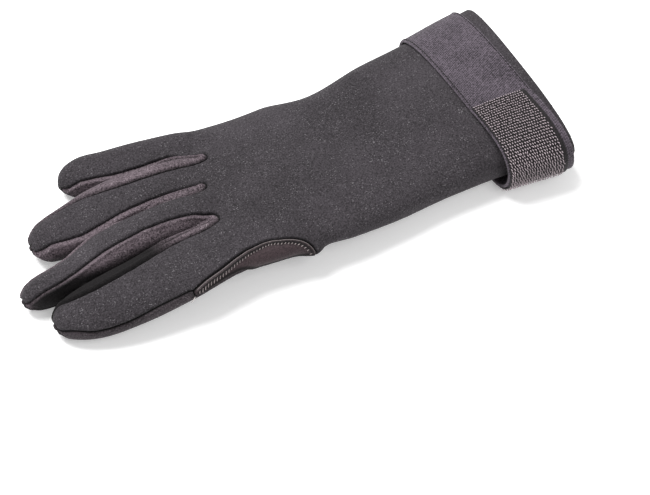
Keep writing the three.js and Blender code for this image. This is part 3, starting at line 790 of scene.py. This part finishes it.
def pressed(kind, points, normals, distance):
    """The outer surface of a panel once its seams have pulled it in."""
    valley, roll, roll_at, roll_width, swell = SEAM_SHAPES[kind]
    ripple = noise_at(points, 3.2, 1 + kind)
    height = -valley * hump(distance, 0, VALLEY_WIDTH) + roll * hump(distance, roll_at, roll_width)
    height += swell * (1 - np.exp(-((distance / 2.2) ** 2)))
    height += 0.14 * ripple * np.exp(-distance / 2.0)
    height += 0.22 * (noise_at(points, 26.0, 9) - 0.6) * smoothstep(distance, 1, 8)
    height += 0.05 * noise_at(points, 7.0, 12) * smoothstep(distance, 1, 5)
    height -= RIM_ROUNDING * hump(rim_place(points[:, 2]) - points[:, 0], 0, 0.9)
    if kind in (2, 3, 4):
        height -= LEAF_CREASES[kind - 2][2] * leaf_crease(kind - 2, points)
    moved = points + normals * height[:, None]
    moved[:, 2] = np.maximum(moved[:, 2], 0.02)
    return moved


def panel_arrays(kind):
    """The points, faces, normals and seam distances of one panel."""
    faces = skin.faces[skin.region == kind]
    used, faces = np.unique(faces, return_inverse=True)
    faces = faces.reshape(-1, 4)
    return used, skin.points[used], faces, skin.normals[used], skin.seam_distance[used]


def pulled_back(points, faces, gap):
    """Draws a panel's open edges in, away from its neighbours, by half the gap of the seam."""
    _, _, open_edges = border_edges(faces, np.zeros(len(faces), int))
    on_edge = np.zeros(len(points), bool)
    on_edge[np.unique(open_edges)] = True
    inward = averaged(points, edges_of(faces)) - points
    size = np.maximum(np.linalg.norm(inward, axis=1), 1e-9)
    points[on_edge] += (inward / size[:, None])[on_edge] * gap / 2
    return points


def thickened(points, faces, normals, wall):
    """A closed shell: the outer surface, an inner one a wall's thickness inside it, and the edges between."""
    edges = edges_of(faces)
    calm = normals.copy()
    for _ in range(12):
        calm = calm + averaged(calm, edges)
        calm /= np.maximum(np.linalg.norm(calm, axis=1), 1e-9)[:, None]
    count = len(points)
    pairs = np.concatenate([np.column_stack([faces[:, i], faces[:, (i + 1) % 4]]) for i in range(4)])
    keys = pairs[:, 0] * count + pairs[:, 1]
    back_keys = pairs[:, 1] * count + pairs[:, 0]
    open_pairs = pairs[~np.isin(keys, back_keys)]
    walls = np.column_stack([open_pairs[:, 1], open_pairs[:, 0], open_pairs[:, 0] + count, open_pairs[:, 1] + count])
    inner = points - calm * wall
    inner[:, 2] = np.maximum(inner[:, 2], 0.3)
    return np.concatenate([points, inner]), np.concatenate([faces, faces[:, ::-1] + count, walls]), count


def finished(name, points, faces, material, node=None, uv=None):
    """A piece of the glove in the CAD model's frame, in metres, that rides on the glove."""
    placed = (np.asarray(points) + (SHIFT_X, SHIFT_Y, 0)) * MM
    made = raw_object(name, placed, faces)
    mesh = made.data
    mesh.polygons.foreach_set("use_smooth", [True] * len(mesh.polygons))
    if uv is not None:
        corners = np.empty(len(mesh.loops), int)
        mesh.loops.foreach_get("vertex_index", corners)
        layer = mesh.uv_layers.new(name="weave")
        layer.data.foreach_set("uv", np.asarray(uv)[corners].astype(np.float32).ravel())
    mesh.materials.append(material)
    mesh.update()
    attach(made, "root")
    if node:
        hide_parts(node)
    return made


def lightened(made, outer_count, share):
    """Thins out the hidden inner surface of a panel and leaves its outer one as it is."""
    group = made.vertex_groups.new(name="inside")
    group.add(list(range(outer_count, len(made.data.vertices))), 1.0, "REPLACE")
    change = made.modifiers.new("thin", "DECIMATE")
    change.ratio = share
    change.vertex_group = "inside"
    depsgraph = bpy.context.evaluated_depsgraph_get()
    mesh = bpy.data.meshes.new_from_object(made.evaluated_get(depsgraph))
    made.modifiers.clear()
    old = made.data
    made.data = mesh
    bpy.data.meshes.remove(old)
    made.vertex_groups.clear()
    return made


# Materials

def shader(name):
    """A new material with its nodes, its links and its main shader."""
    material = bpy.data.materials.new(name)
    material.use_nodes = True
    tree = material.node_tree
    return material, tree.nodes, tree.links, tree.nodes["Principled BSDF"]


def noise_node(nodes, links, vector, scale, detail, roughness=0.5):
    node = nodes.new("ShaderNodeTexNoise")
    node.inputs["Scale"].default_value = scale
    node.inputs["Detail"].default_value = detail
    node.inputs["Roughness"].default_value = roughness
    links.new(vector, node.inputs["Vector"])
    return node.outputs["Fac"]


def ramp_node(nodes, links, value, low, high):
    node = nodes.new("ShaderNodeMapRange")
    node.inputs["From Min"].default_value = low
    node.inputs["From Max"].default_value = high
    links.new(value, node.inputs["Value"])
    return node.outputs["Result"]


def mix_node(nodes, links, factor, a, b):
    node = nodes.new("ShaderNodeMix")
    node.data_type = "RGBA"
    for socket, value in ((node.inputs["A"], a), (node.inputs["B"], b)):
        if isinstance(value, tuple):
            socket.default_value = (*value, 1)
        else:
            links.new(value, socket)
    if isinstance(factor, float):
        node.inputs["Factor"].default_value = factor
    else:
        links.new(factor, node.inputs["Factor"])
    return node.outputs["Result"]


def math_node(nodes, links, operation, a, b):
    node = nodes.new("ShaderNodeMath")
    node.operation = operation
    for socket, value in zip(node.inputs, (a, b)):
        if isinstance(value, (int, float)):
            socket.default_value = value
        else:
            links.new(value, socket)
    return node.outputs["Value"]


def bump_node(nodes, links, height, distance, strength):
    node = nodes.new("ShaderNodeBump")
    node.inputs["Distance"].default_value = distance
    node.inputs["Strength"].default_value = strength
    links.new(height, node.inputs["Height"])
    return node.outputs["Normal"]


def painted_shade(nodes, links, colour, depth):
    """Darkens a colour with painted shade where the cloth turns in, along the seams and deep in the gaps, as much as
    the crease attribute says.
    """
    crease = nodes.new("ShaderNodeAttribute")
    crease.attribute_name = "crease"
    dark = math_node(nodes, links, "MULTIPLY", crease.outputs["Fac"], depth)
    return mix_node(nodes, links, dark, colour, (0.002, 0.002, 0.002))


def knit_material(name, dark, light, speck, speck_share, grain, sheen, roughness, relief):
    """A matt knitted face: soft patches of tone, a fine grain and scattered pale fibres."""
    material, nodes, links, main = shader(name)
    place = nodes.new("ShaderNodeTexCoord").outputs["Object"]
    patches = noise_node(nodes, links, place, 26, 3)
    fine = noise_node(nodes, links, place, 1 / (grain * MM), 1.5, 0.6)
    middling = noise_node(nodes, links, place, 170, 2)
    tone = math_node(nodes, links, "ADD", math_node(nodes, links, "MULTIPLY", patches, 0.3),
                     math_node(nodes, links, "MULTIPLY", fine, 0.7))
    tone = ramp_node(nodes, links, tone, 0.36, 0.64)
    colour = mix_node(nodes, links, tone, dark, light)
    fibres = noise_node(nodes, links, place, 1 / (0.8 * grain * MM), 0.0, 0.5)
    fibres = ramp_node(nodes, links, fibres, speck_share, speck_share + 0.06)
    clumps = ramp_node(nodes, links, middling, 0.3, 0.7)
    fibres = math_node(nodes, links, "MULTIPLY", fibres, clumps)
    colour = mix_node(nodes, links, fibres, colour, speck)
    # Painted shade along the seams, over the patch's stitch row and deep in the gaps between the fingers.
    links.new(painted_shade(nodes, links, colour, 0.95), main.inputs["Base Color"])
    main.inputs["Roughness"].default_value = roughness
    main.inputs["Specular IOR Level"].default_value = 0.16
    main.inputs["Sheen Weight"].default_value = sheen
    main.inputs["Sheen Roughness"].default_value = 0.5
    height = math_node(nodes, links, "ADD", fine, math_node(nodes, links, "MULTIPLY", middling, 0.6))
    links.new(bump_node(nodes, links, height, relief * MM, 0.7), main.inputs["Normal"])
    return material


def webbing_material(name, dark, light, along_pitch, across_pitch, depth):
    """Woven elastic: slanting twill lines broken up by the threads that run along the tape."""
    material, nodes, links, main = shader(name)
    uv = nodes.new("ShaderNodeUVMap")
    uv.uv_map = "weave"
    split = nodes.new("ShaderNodeSeparateXYZ")
    links.new(uv.outputs["UV"], split.inputs["Vector"])
    along, across = split.outputs["X"], split.outputs["Y"]
    place = nodes.new("ShaderNodeTexCoord").outputs["Object"]
    wobble = noise_node(nodes, links, place, 260, 2)
    slant = math_node(nodes, links, "ADD", along, math_node(nodes, links, "MULTIPLY", across, 0.45))
    slant = math_node(nodes, links, "ADD", slant, math_node(nodes, links, "MULTIPLY", wobble, 0.8))
    ribs = math_node(nodes, links, "SINE", math_node(nodes, links, "MULTIPLY", slant, math.tau / along_pitch), 0)
    threads = math_node(nodes, links, "SINE", math_node(nodes, links, "MULTIPLY", across, math.tau / across_pitch), 0)
    weave = math_node(nodes, links, "MULTIPLY", math_node(nodes, links, "ADD", ribs, threads), 0.11)
    fine = noise_node(nodes, links, place, 1150, 1.0)
    weave = math_node(nodes, links, "ADD", weave, fine)
    patches = noise_node(nodes, links, place, 55, 3)
    tone = math_node(nodes, links, "ADD", weave, math_node(nodes, links, "MULTIPLY", patches, 0.35))
    tone = ramp_node(nodes, links, tone, 0.4, 0.98)
    links.new(mix_node(nodes, links, tone, dark, light), main.inputs["Base Color"])
    main.inputs["Roughness"].default_value = 0.8
    main.inputs["Specular IOR Level"].default_value = 0.25
    main.inputs["Sheen Weight"].default_value = 0.08
    links.new(bump_node(nodes, links, weave, depth * MM, 0.9), main.inputs["Normal"])
    return material


def thread_material(name, colour, roughness):
    material, nodes, links, main = shader(name)
    place = nodes.new("ShaderNodeTexCoord").outputs["Object"]
    tone = noise_node(nodes, links, place, 900, 2)
    darker = tuple(c * 0.55 for c in colour)
    links.new(mix_node(nodes, links, tone, darker, colour), main.inputs["Base Color"])
    main.inputs["Roughness"].default_value = roughness
    main.inputs["Specular IOR Level"].default_value = 0.35
    return material


charcoal = knit_material(
    "charcoal_knit", (0.0125, 0.0108, 0.0122), (0.046, 0.0405, 0.046), (0.13, 0.122, 0.13), 0.69, 0.75, 0.03, 0.85, 0.3)
grey_knit = knit_material(
    "grey_knit", (0.021, 0.016, 0.019), (0.132, 0.104, 0.119), (0.22, 0.185, 0.2), 0.68, 0.8, 0.02, 0.9, 0.35)
palm_knit = knit_material(
    "palm_knit", (0.013, 0.0105, 0.012), (0.056, 0.046, 0.052), (0.12, 0.105, 0.112), 0.68, 0.7, 0.05, 0.9, 0.3)
lining = knit_material(
    "lining", (0.03, 0.025, 0.027), (0.11, 0.092, 0.1), (0.15, 0.13, 0.14), 0.7, 0.6, 0.1, 0.9, 0.25)
brown_patch = knit_material(
    "brown_patch", (0.017, 0.0115, 0.013), (0.054, 0.037, 0.041), (0.09, 0.07, 0.072), 0.74, 0.6, 0.02, 0.6, 0.15)
webbing = webbing_material("webbing", (0.0085, 0.0065, 0.009), (0.108, 0.088, 0.11), 1.1, 0.9, 0.35)
hook_base = webbing_material("hook_base", (0.003, 0.0024, 0.0028), (0.014, 0.011, 0.0125), 1.4, 1.0, 0.3)
hook_wire = thread_material("hook_wire", (0.5, 0.42, 0.45), 0.5)
dark_thread = thread_material("dark_thread", (0.004, 0.003, 0.0035), 0.7)
pale_thread = thread_material("pale_thread", (0.33, 0.28, 0.28), 0.6)
edge_thread = thread_material("edge_thread", (0.22, 0.19, 0.19), 0.6)
loose_end = thread_material("loose_end", (0.5, 0.46, 0.45), 0.6)

PANEL_MATERIALS = {
    PALM: (palm_knit, "grey_knit"), BACK: (charcoal, "charcoal_knit"), 2: (grey_knit, "grey_knit"),
    3: (grey_knit, "grey_knit"), 4: (grey_knit, "grey_knit"), PATCH: (brown_patch, "brown_patch"),
}


# Panels

INNER_SHARES = {PALM: 0.55, BACK: 0.55, 2: 0.62, 3: 0.65, 4: 0.65, PATCH: 0.7}
outer_skin = {}


def lined(made, points, outer_faces):
    """Gives the inside and the rim of a panel the colour of the lining."""
    mesh = made.data
    mesh.materials.append(lining)
    at = np.zeros(len(mesh.polygons), int)
    at[outer_faces:] = 1
    for polygon in mesh.polygons[2 * outer_faces:]:
        if points[polygon.vertices[0]][0] < HAND_LENGTH - 5:
            at[polygon.index] = 0
    mesh.polygons.foreach_set("material_index", at)


def far_wall_shade(i, points):
    """Painted shade on the lower band of the first strip, on the index finger's side of the gap, which lies in shadow.
    """
    if i:
        return np.zeros(len(points))
    slit = fingers[0].centre + fingers[0].width / 2 + FINGER_SPACING / 2
    distance = leaf_end(0)[0] - points[:, 0]
    return smoothstep(distance, 18, 38) * (1 - smoothstep(points[:, 1], slit - 0.5, slit + 2.5))


def painted_gap_shade(i, points):
    """How much painted shade darkens a strip where it lies deep between two fingers and in its sewn crease, from 0 to
    1.
    """
    _, _, near_top, far_top = seam_values(i, points[:, 0])
    deep = smoothstep(np.minimum(near_top, far_top) - points[:, 2], 1.5, 9.0)
    slit = leaf_end(i)[0] - points[:, 0]
    deep = np.maximum(GAP_DARKNESS * deep * smoothstep(slit, 4, 20), LEAF_CREASES[i][2] / 3 * leaf_crease(i, points))
    return np.maximum(deep, far_wall_shade(i, points))


# Strength of the painted shade deep between the fingers.
GAP_DARKNESS = 0.85
STITCH_SHADOW = (1.75, 0.8)  # distance from the patch's seam and width of the painted shadow over its sunken row of stitches


def make_panel(kind):
    used, points, faces, normals, distance = panel_arrays(kind)
    points = pressed(kind, points, normals, distance)
    points = pulled_back(points, faces, OPEN_SEAM)
    outer_skin[kind] = (points, faces)
    solid, solid_faces, outer = thickened(points, faces, normals, WALL)
    material, slot = PANEL_MATERIALS[kind]
    node = REGION_NAMES[kind]
    made = finished(node + "_cloth", solid, solid_faces, material, node)
    if kind in (BACK, PALM):
        lined(made, solid, len(faces))
    # The crease attribute holds painted shade: along the seams, over the patch's stitch row and deep in the gaps
    # between the fingers.
    shade = made.data.attributes.new("crease", "FLOAT", "POINT")
    crease = hump(distance, 0, CREASE_WIDTH) * skin.seam_darkness[used]
    if kind == PATCH:
        crease = np.maximum(crease, hump(distance, *STITCH_SHADOW))
    if kind in (2, 3, 4):
        crease = np.maximum(crease, painted_gap_shade(kind - 2, points))
    shade.data.foreach_set("value", np.concatenate([crease, crease]).astype(np.float32))
    lightened(made, outer, INNER_SHARES[kind])
    return made


panels = {kind: make_panel(kind) for kind in REGION_NAMES}


def make_thumb():
    rings = thumb_rings(64)
    points, faces = remeshed([rings], VOXEL)
    points = evened(points, edges_of(faces), 3)
    body = BVHTree.FromPolygons(skin.points.tolist(), skin.faces.tolist())
    centres = points[faces].mean(axis=1)
    outside = []
    for centre in centres.tolist():
        place, normal, _, _ = body.find_nearest(centre)
        outside.append((Vector(centre) - place).dot(normal) > SEAM_GAP)
    outside = np.array(outside) & (centres[:, 0] < THUMB_ROOT - 1)
    faces = faces[outside]
    used, faces = np.unique(faces, return_inverse=True)
    points, faces = points[used], faces.reshape(-1, 4)
    normals = vertex_normals(points, faces)
    points = points + normals * (0.15 * noise_at(points, 14.0, 4) - 0.15)[:, None]
    solid, solid_faces, outer = thickened(points, faces, normals, WALL)
    made = finished("thumb_cloth", solid, solid_faces, charcoal, "thumb")
    lightened(made, outer, 0.6)
    return made


make_thumb()


# Wrist strap and its hooks

def band_points(steps, edges, lift):
    """Points on the strap's way round the cuff. steps run round it, edges across it, lift is out from the glove.
    Comes with the directions out of the strap."""
    angle = 2 * math.pi * steps / SECTION_STEPS
    bulge = np.clip((steps - HOOK_FROM) / (STRAP_TO - HOOK_FROM), 0, 1)
    stand_off = STRAP_STAND_OFF * np.sin(math.pi * bulge)
    across, _ = round_points(angle, HAND_ROUNDNESS)
    x = HAND_LENGTH - STRAP_TO_RIM - STRAP_WIDTH - across * STRAP_SKEW / 2 + edges * STRAP_WIDTH
    step = math.pi / SECTION_STEPS
    before = hand_points(x, angle - step, True)
    after = hand_points(x, angle + step, True)
    out = np.column_stack([np.zeros(len(x)), after[:, 2] - before[:, 2], before[:, 1] - after[:, 1]])
    out /= np.linalg.norm(out, axis=1)[:, None]
    points = hand_points(x, angle, True) + out * (lift + stand_off)[:, None]
    return points, out


def band_grid(first, last, edge_low, edge_high, inner, thickness, round_edge, length_step, floor_low):
    """A flat tape's closed surface and its weave coordinates in millimetres."""
    probe, _ = band_points(np.linspace(first, last, 400), np.full(400, 0.5), np.full(400, inner))
    length = np.linalg.norm(np.diff(probe, axis=0), axis=1)
    run = np.concatenate([[0], np.cumsum(length)])
    count = int(run[-1] / length_step)
    steps = np.interp(np.linspace(0, run[-1], count), run, np.linspace(first, last, 400))
    along = np.linspace(0, run[-1], count)
    width = (edge_high - edge_low) * STRAP_WIDTH
    bend = round_edge * (1 - np.cos(np.linspace(0, math.pi / 2, 5)))
    half = np.concatenate([bend, np.arange(round_edge + 0.7, width / 2, 0.7)])
    places = np.concatenate([half, width - half[::-1]])
    edge_distance = np.minimum(places, width - places)
    profile = np.sqrt(1 - (1 - np.minimum(edge_distance / round_edge, 1)) ** 2)
    loop_place = np.concatenate([places, places[::-1][1:-1]])
    side = np.concatenate([np.ones(len(places)), -np.ones(len(places) - 2)])
    loop_profile = np.concatenate([profile, profile[::-1][1:-1]]) * side
    end_distance = np.minimum(along, run[-1] - along)
    end_profile = np.sqrt(1 - (1 - np.minimum(end_distance / round_edge, 1)) ** 2)
    end_profile = np.maximum(end_profile, 0.05)
    grid_steps = np.repeat(steps, len(loop_place))
    grid_edges = np.tile(edge_low + loop_place / STRAP_WIDTH, count)
    grid_profile = np.tile(loop_profile, count) * np.repeat(end_profile, len(loop_place))
    lift = inner + thickness / 2 + thickness / 2 * grid_profile
    points, out = band_points(grid_steps, grid_edges, lift)
    low = np.where(grid_profile > 0, floor_low, floor_low + thickness)
    points[:, 2] = np.maximum(points[:, 2], low)
    uv = np.column_stack([np.repeat(along, len(loop_place)), np.tile(loop_place, count)])
    return points, ring_faces(count, len(loop_place)), uv, out


def make_strap():
    points, faces, uv, out = band_grid(STRAP_FROM, STRAP_TO, 0, 1, SEAM_GAP, STRAP_THICKNESS, 0.7, 0.8, 0)
    made = finished("wrist_strap_webbing", points, faces, webbing, "wrist_strap", uv)
    return made


HOOK_EDGE_LOW = 2 * SEAM_GAP / STRAP_WIDTH
HOOK_EDGE_HIGH = 1 - HOOK_MARGIN / STRAP_WIDTH
TAPE_THICKNESS = 0.7
HOOK_ROW_PITCH = 1.5
HOOK_PITCH = 1.25


def tubes_mesh(paths, radii, sides):
    """Points and faces of many thin bent wires. paths is [wire, point, xyz], radii is [wire, point]."""
    paths = np.asarray(paths, float)
    count, length, _ = paths.shape
    run = np.gradient(paths, axis=1)
    run /= np.maximum(np.linalg.norm(run, axis=2), 1e-9)[..., None]
    reference = np.where(np.abs(run[..., 2:3]) < 0.9, (0.0, 0.0, 1.0), (1.0, 0.0, 0.0))
    side = np.cross(run, reference)
    side /= np.maximum(np.linalg.norm(side, axis=2), 1e-9)[..., None]
    other = np.cross(run, side)
    angles = np.linspace(0, 2 * math.pi, sides, endpoint=False)
    radii = np.broadcast_to(radii, (count, length))[..., None, None]
    ring = side[:, :, None] * np.cos(angles)[:, None] + other[:, :, None] * np.sin(angles)[:, None]
    points = (paths[:, :, None] + ring * radii).reshape(-1, 3)
    pattern = np.array([f for f in ring_faces(length, sides) if len(f) == 4][: (length - 1) * sides])
    per = length * sides
    faces = (pattern[None] + (np.arange(count) * per)[:, None, None]).reshape(-1, 4)
    caps = []
    for start in (np.arange(count) * per).tolist():
        caps.append(tuple(range(start + sides - 1, start - 1, -1)))
        caps.append(tuple(range(start + per - sides, start + per)))
    return points, faces.tolist() + caps


def make_hook_patch():
    inner = 2 * SEAM_GAP + STRAP_THICKNESS
    points, faces, uv, _ = band_grid(
        HOOK_FROM, HOOK_TO, HOOK_EDGE_LOW, HOOK_EDGE_HIGH, inner, TAPE_THICKNESS, 0.35, 0.7, 0.3)
    made = finished("hook_patch_tape", points, faces, hook_base, "hook_patch", uv)
    probe, _ = band_points(np.linspace(HOOK_FROM, HOOK_TO, 300), np.full(300, 0.5), np.full(300, inner))
    run = np.concatenate([[0], np.cumsum(np.linalg.norm(np.diff(probe, axis=0), axis=1))])
    rows = int((run[-1] - 1.6) / HOOK_ROW_PITCH)
    width = (HOOK_EDGE_HIGH - HOOK_EDGE_LOW) * STRAP_WIDTH
    columns = int((width - 1.2) / HOOK_PITCH)
    rng = np.random.default_rng(7)
    bases, outs, tangents = [], [], []
    for row in range(rows):
        place = 0.9 + row * HOOK_ROW_PITCH
        edge = 0.6 + (np.arange(columns) + 0.25 * (row % 2)) * HOOK_PITCH + rng.normal(0, 0.08, columns)
        along = place + rng.normal(0, 0.06, columns)
        steps = np.interp(along, run, np.linspace(HOOK_FROM, HOOK_TO, 300))
        at = HOOK_EDGE_LOW + edge / STRAP_WIDTH
        base, out = band_points(steps, at, np.full(columns, inner + TAPE_THICKNESS - 0.1))
        ahead, _ = band_points(steps + 0.05, at, np.full(columns, inner + TAPE_THICKNESS - 0.1))
        tangent = ahead - base
        bases.append(base)
        outs.append(out)
        tangents.append(tangent / np.linalg.norm(tangent, axis=1)[:, None])
    base, out, tangent = (np.concatenate(v)[:, None] for v in (bases, outs, tangents))
    count = len(base)
    lean = rng.normal(0, 0.2, (count, 1, 1))
    high = (HOOK_THICKNESS - TAPE_THICKNESS) * rng.uniform(0.6, 1.0, (count, 1, 1))
    bend = np.linspace(0, 1, 7)[None, :, None]
    rise = np.sin(bend * math.pi * 0.72) * high
    reach = (1 - np.cos(bend * math.pi * 0.9)) * 0.38 - 0.3
    side = np.cross(out, tangent)
    paths = base + out * rise + tangent * reach + side * lean * bend
    radii = np.full((count, 7), 0.22)
    radii[:, 0] = 0.26
    radii[:, -1] = 0.18
    points, faces = tubes_mesh(paths, radii, 5)
    points[:, 2] = np.maximum(points[:, 2], 0.02)
    hooks = finished("hook_patch_hooks", points, faces, hook_wire)
    return made


make_strap()
make_hook_patch()


# Stitches

def skin_tree(kinds):
    points, faces = [], []
    for kind in kinds:
        start = sum(len(p) for p in points)
        points.append(outer_skin[kind][0])
        faces.append(outer_skin[kind][1] + start)
    return BVHTree.FromPolygons(np.concatenate(points).tolist(), np.concatenate(faces).tolist())


def dropped(tree, places):
    """Points of the outer skin straight below [x, y] places, and the directions out of it."""
    found, outs = [], []
    for x, y in np.asarray(places).tolist():
        place, normal, _, _ = tree.ray_cast(Vector((x, y, 100)), Vector((0, 0, -1)))
        if place is None:
            place, normal, _, _ = tree.find_nearest(Vector((x, y, 20)))
        found.append(place)
        outs.append(normal)
    return np.array(found), np.array(outs)


def offset_line(line, distance):
    """A plan line moved sideways by a distance, to the right of its run."""
    run = np.gradient(line, axis=0)
    run /= np.linalg.norm(run, axis=1)[:, None]
    return line + np.column_stack([run[:, 1], -run[:, 0]]) * distance


def stitches(name, starts, ends, outs, arch, radius, material):
    """Short arched stitches from start to end points, with their feet sunk in the cloth."""
    t = np.linspace(0, 1, 6)[None, :, None]
    paths = starts[:, None] * (1 - t) + ends[:, None] * t
    paths = paths + outs[:, None] * (np.sin(t * math.pi) * arch - 0.12)
    points, faces = tubes_mesh(paths, np.full((len(starts), 6), radius), 6)
    made = finished(name, points, faces, material)
    return made


def cord(name, path, radius, material):
    points, faces = tubes_mesh([path], np.full((1, len(path)), radius), 8)
    made = finished(name, points, faces, material)
    return made


def patch_stitches():
    """The patch's rolled edge and, inside it, a row of slanting stitches; the dark holes between them are painted
    shadow on the patch.
    """
    tree = skin_tree([BACK, PATCH])
    line = curve_points(np.array(PATCH_EDGE) * (HAND_LENGTH, KNUCKLE_WIDTH), 1.6)[1:-1]
    edge, edge_out = dropped(tree, offset_line(curve_points(line, 0.6), 0.55))
    cord("patch_edge_thread", edge + edge_out * 0.02, 0.15, edge_thread)
    top, top_out = dropped(tree, offset_line(line, 1.05))
    low, _ = dropped(tree, offset_line(line, 2.5))
    stitches("patch_stitch_threads", top[1:], low[:-1], top_out[1:], 0.22, 0.22, pale_thread)


def loose_thread():
    """The end of the sewing thread, left curling at the finger side of the patch."""
    tree = skin_tree([BACK, PATCH, PALM])
    start = offset_line(patch_line, 0.7)[0]
    base, out = dropped(tree, [start])
    t = np.linspace(0, 1, 14)[:, None]
    away = np.array([-0.9, -0.25, 0.0])
    path = base + out * (0.2 + 0.6 * np.sin(t * math.pi)) + away * t * 3.2 + np.array([0.4, -0.5, -1.2]) * t**2
    cord("patch_loose_thread", path, 0.22, loose_end)


def strap_stitches():
    rows = []
    for edge, name in ((1.3, "strap_stitch_fingers"), (STRAP_WIDTH - 1.2, "strap_stitch_cuff")):
        probe, _ = band_points(np.linspace(STRAP_FROM, HOOK_FROM, 400), np.full(400, 0.5), np.full(400, 1.0))
        run = np.concatenate([[0], np.cumsum(np.linalg.norm(np.diff(probe, axis=0), axis=1))])
        along = np.arange(2, run[-1] - 1, 2.0)
        steps = np.interp(along, run, np.linspace(STRAP_FROM, HOOK_FROM, 400))
        next_steps = np.interp(along + 1.3, run, np.linspace(STRAP_FROM, HOOK_FROM, 400))
        lift = np.full(len(along), SEAM_GAP + STRAP_THICKNESS)
        edges = np.full(len(along), edge / STRAP_WIDTH)
        start, out = band_points(steps, edges, lift)
        end, _ = band_points(next_steps, edges, lift)
        seen = start[:, 2] > 3
        rows.append(stitches(name, start[seen], end[seen], out[seen], 0.22, 0.3, dark_thread))
    return rows


patch_stitches()
loose_thread()
strap_stitches()


# Floor, light and camera

def floor():
    mesh = bpy.data.meshes.new("floor")
    size = 3.0
    mesh.from_pydata([(-size, -size, 0), (size, -size, 0), (size, size, 0), (-size, size, 0)], [], [(0, 1, 2, 3)])
    made = bpy.data.objects.new("floor", mesh)
    bpy.context.scene.collection.objects.link(made)
    made.location.z = -0.0002
    material, nodes, links, main = shader("floor_pale")
    main.inputs["Base Color"].default_value = (0.9, 0.9, 0.9, 1)
    main.inputs["Roughness"].default_value = 0.9
    main.inputs["Emission Color"].default_value = (1, 1, 1, 1)
    main.inputs["Emission Strength"].default_value = 0.3
    mesh.materials.append(material)


def light(name, place, target, size, power):
    data = bpy.data.lights.new(name, "AREA")
    data.shape = "DISK"
    data.size = size
    data.energy = power
    made = bpy.data.objects.new(name, data)
    made.location = place
    made.rotation_euler = (Vector(target) - Vector(place)).to_track_quat("-Z", "Y").to_euler()
    bpy.context.scene.collection.objects.link(made)


CAMERA_AZIMUTH = math.radians(-27.5)
CAMERA_ELEVATION = math.radians(50)
CAMERA_DISTANCE = 1.1
CAMERA_LENS = 127.9
CAMERA_TARGET = (0.008, -0.003, 0.015)
CAMERA_SHIFT = (0.0446, -0.11)


def camera():
    data = bpy.data.cameras.new("camera")
    data.lens = CAMERA_LENS
    data.sensor_width = 36
    data.shift_x, data.shift_y = CAMERA_SHIFT
    made = bpy.data.objects.new("camera", data)
    back = Vector((
        math.sin(CAMERA_AZIMUTH) * math.cos(CAMERA_ELEVATION),
        -math.cos(CAMERA_AZIMUTH) * math.cos(CAMERA_ELEVATION),
        math.sin(CAMERA_ELEVATION),
    ))
    made.location = Vector(CAMERA_TARGET) + back * CAMERA_DISTANCE
    made.rotation_mode = "QUATERNION"
    made.rotation_quaternion = (-back).to_track_quat("-Z", "Y")
    bpy.context.scene.collection.objects.link(made)
    bpy.context.scene.camera = made


def world():
    made = bpy.data.worlds.new("studio")
    made.use_nodes = True
    background = made.node_tree.nodes["Background"]
    background.inputs["Color"].default_value = (1, 1, 1, 1)
    background.inputs["Strength"].default_value = 0.46
    bpy.context.scene.world = made


floor()
camera()
world()
light("key", (-0.3, 0.45, 1.2), (0, 0, 0), 0.85, 28)
light("near", (0.15, -0.7, 0.9), (0, 0, 0), 0.5, 3)
bpy.context.scene.view_settings.view_transform = "Standard"
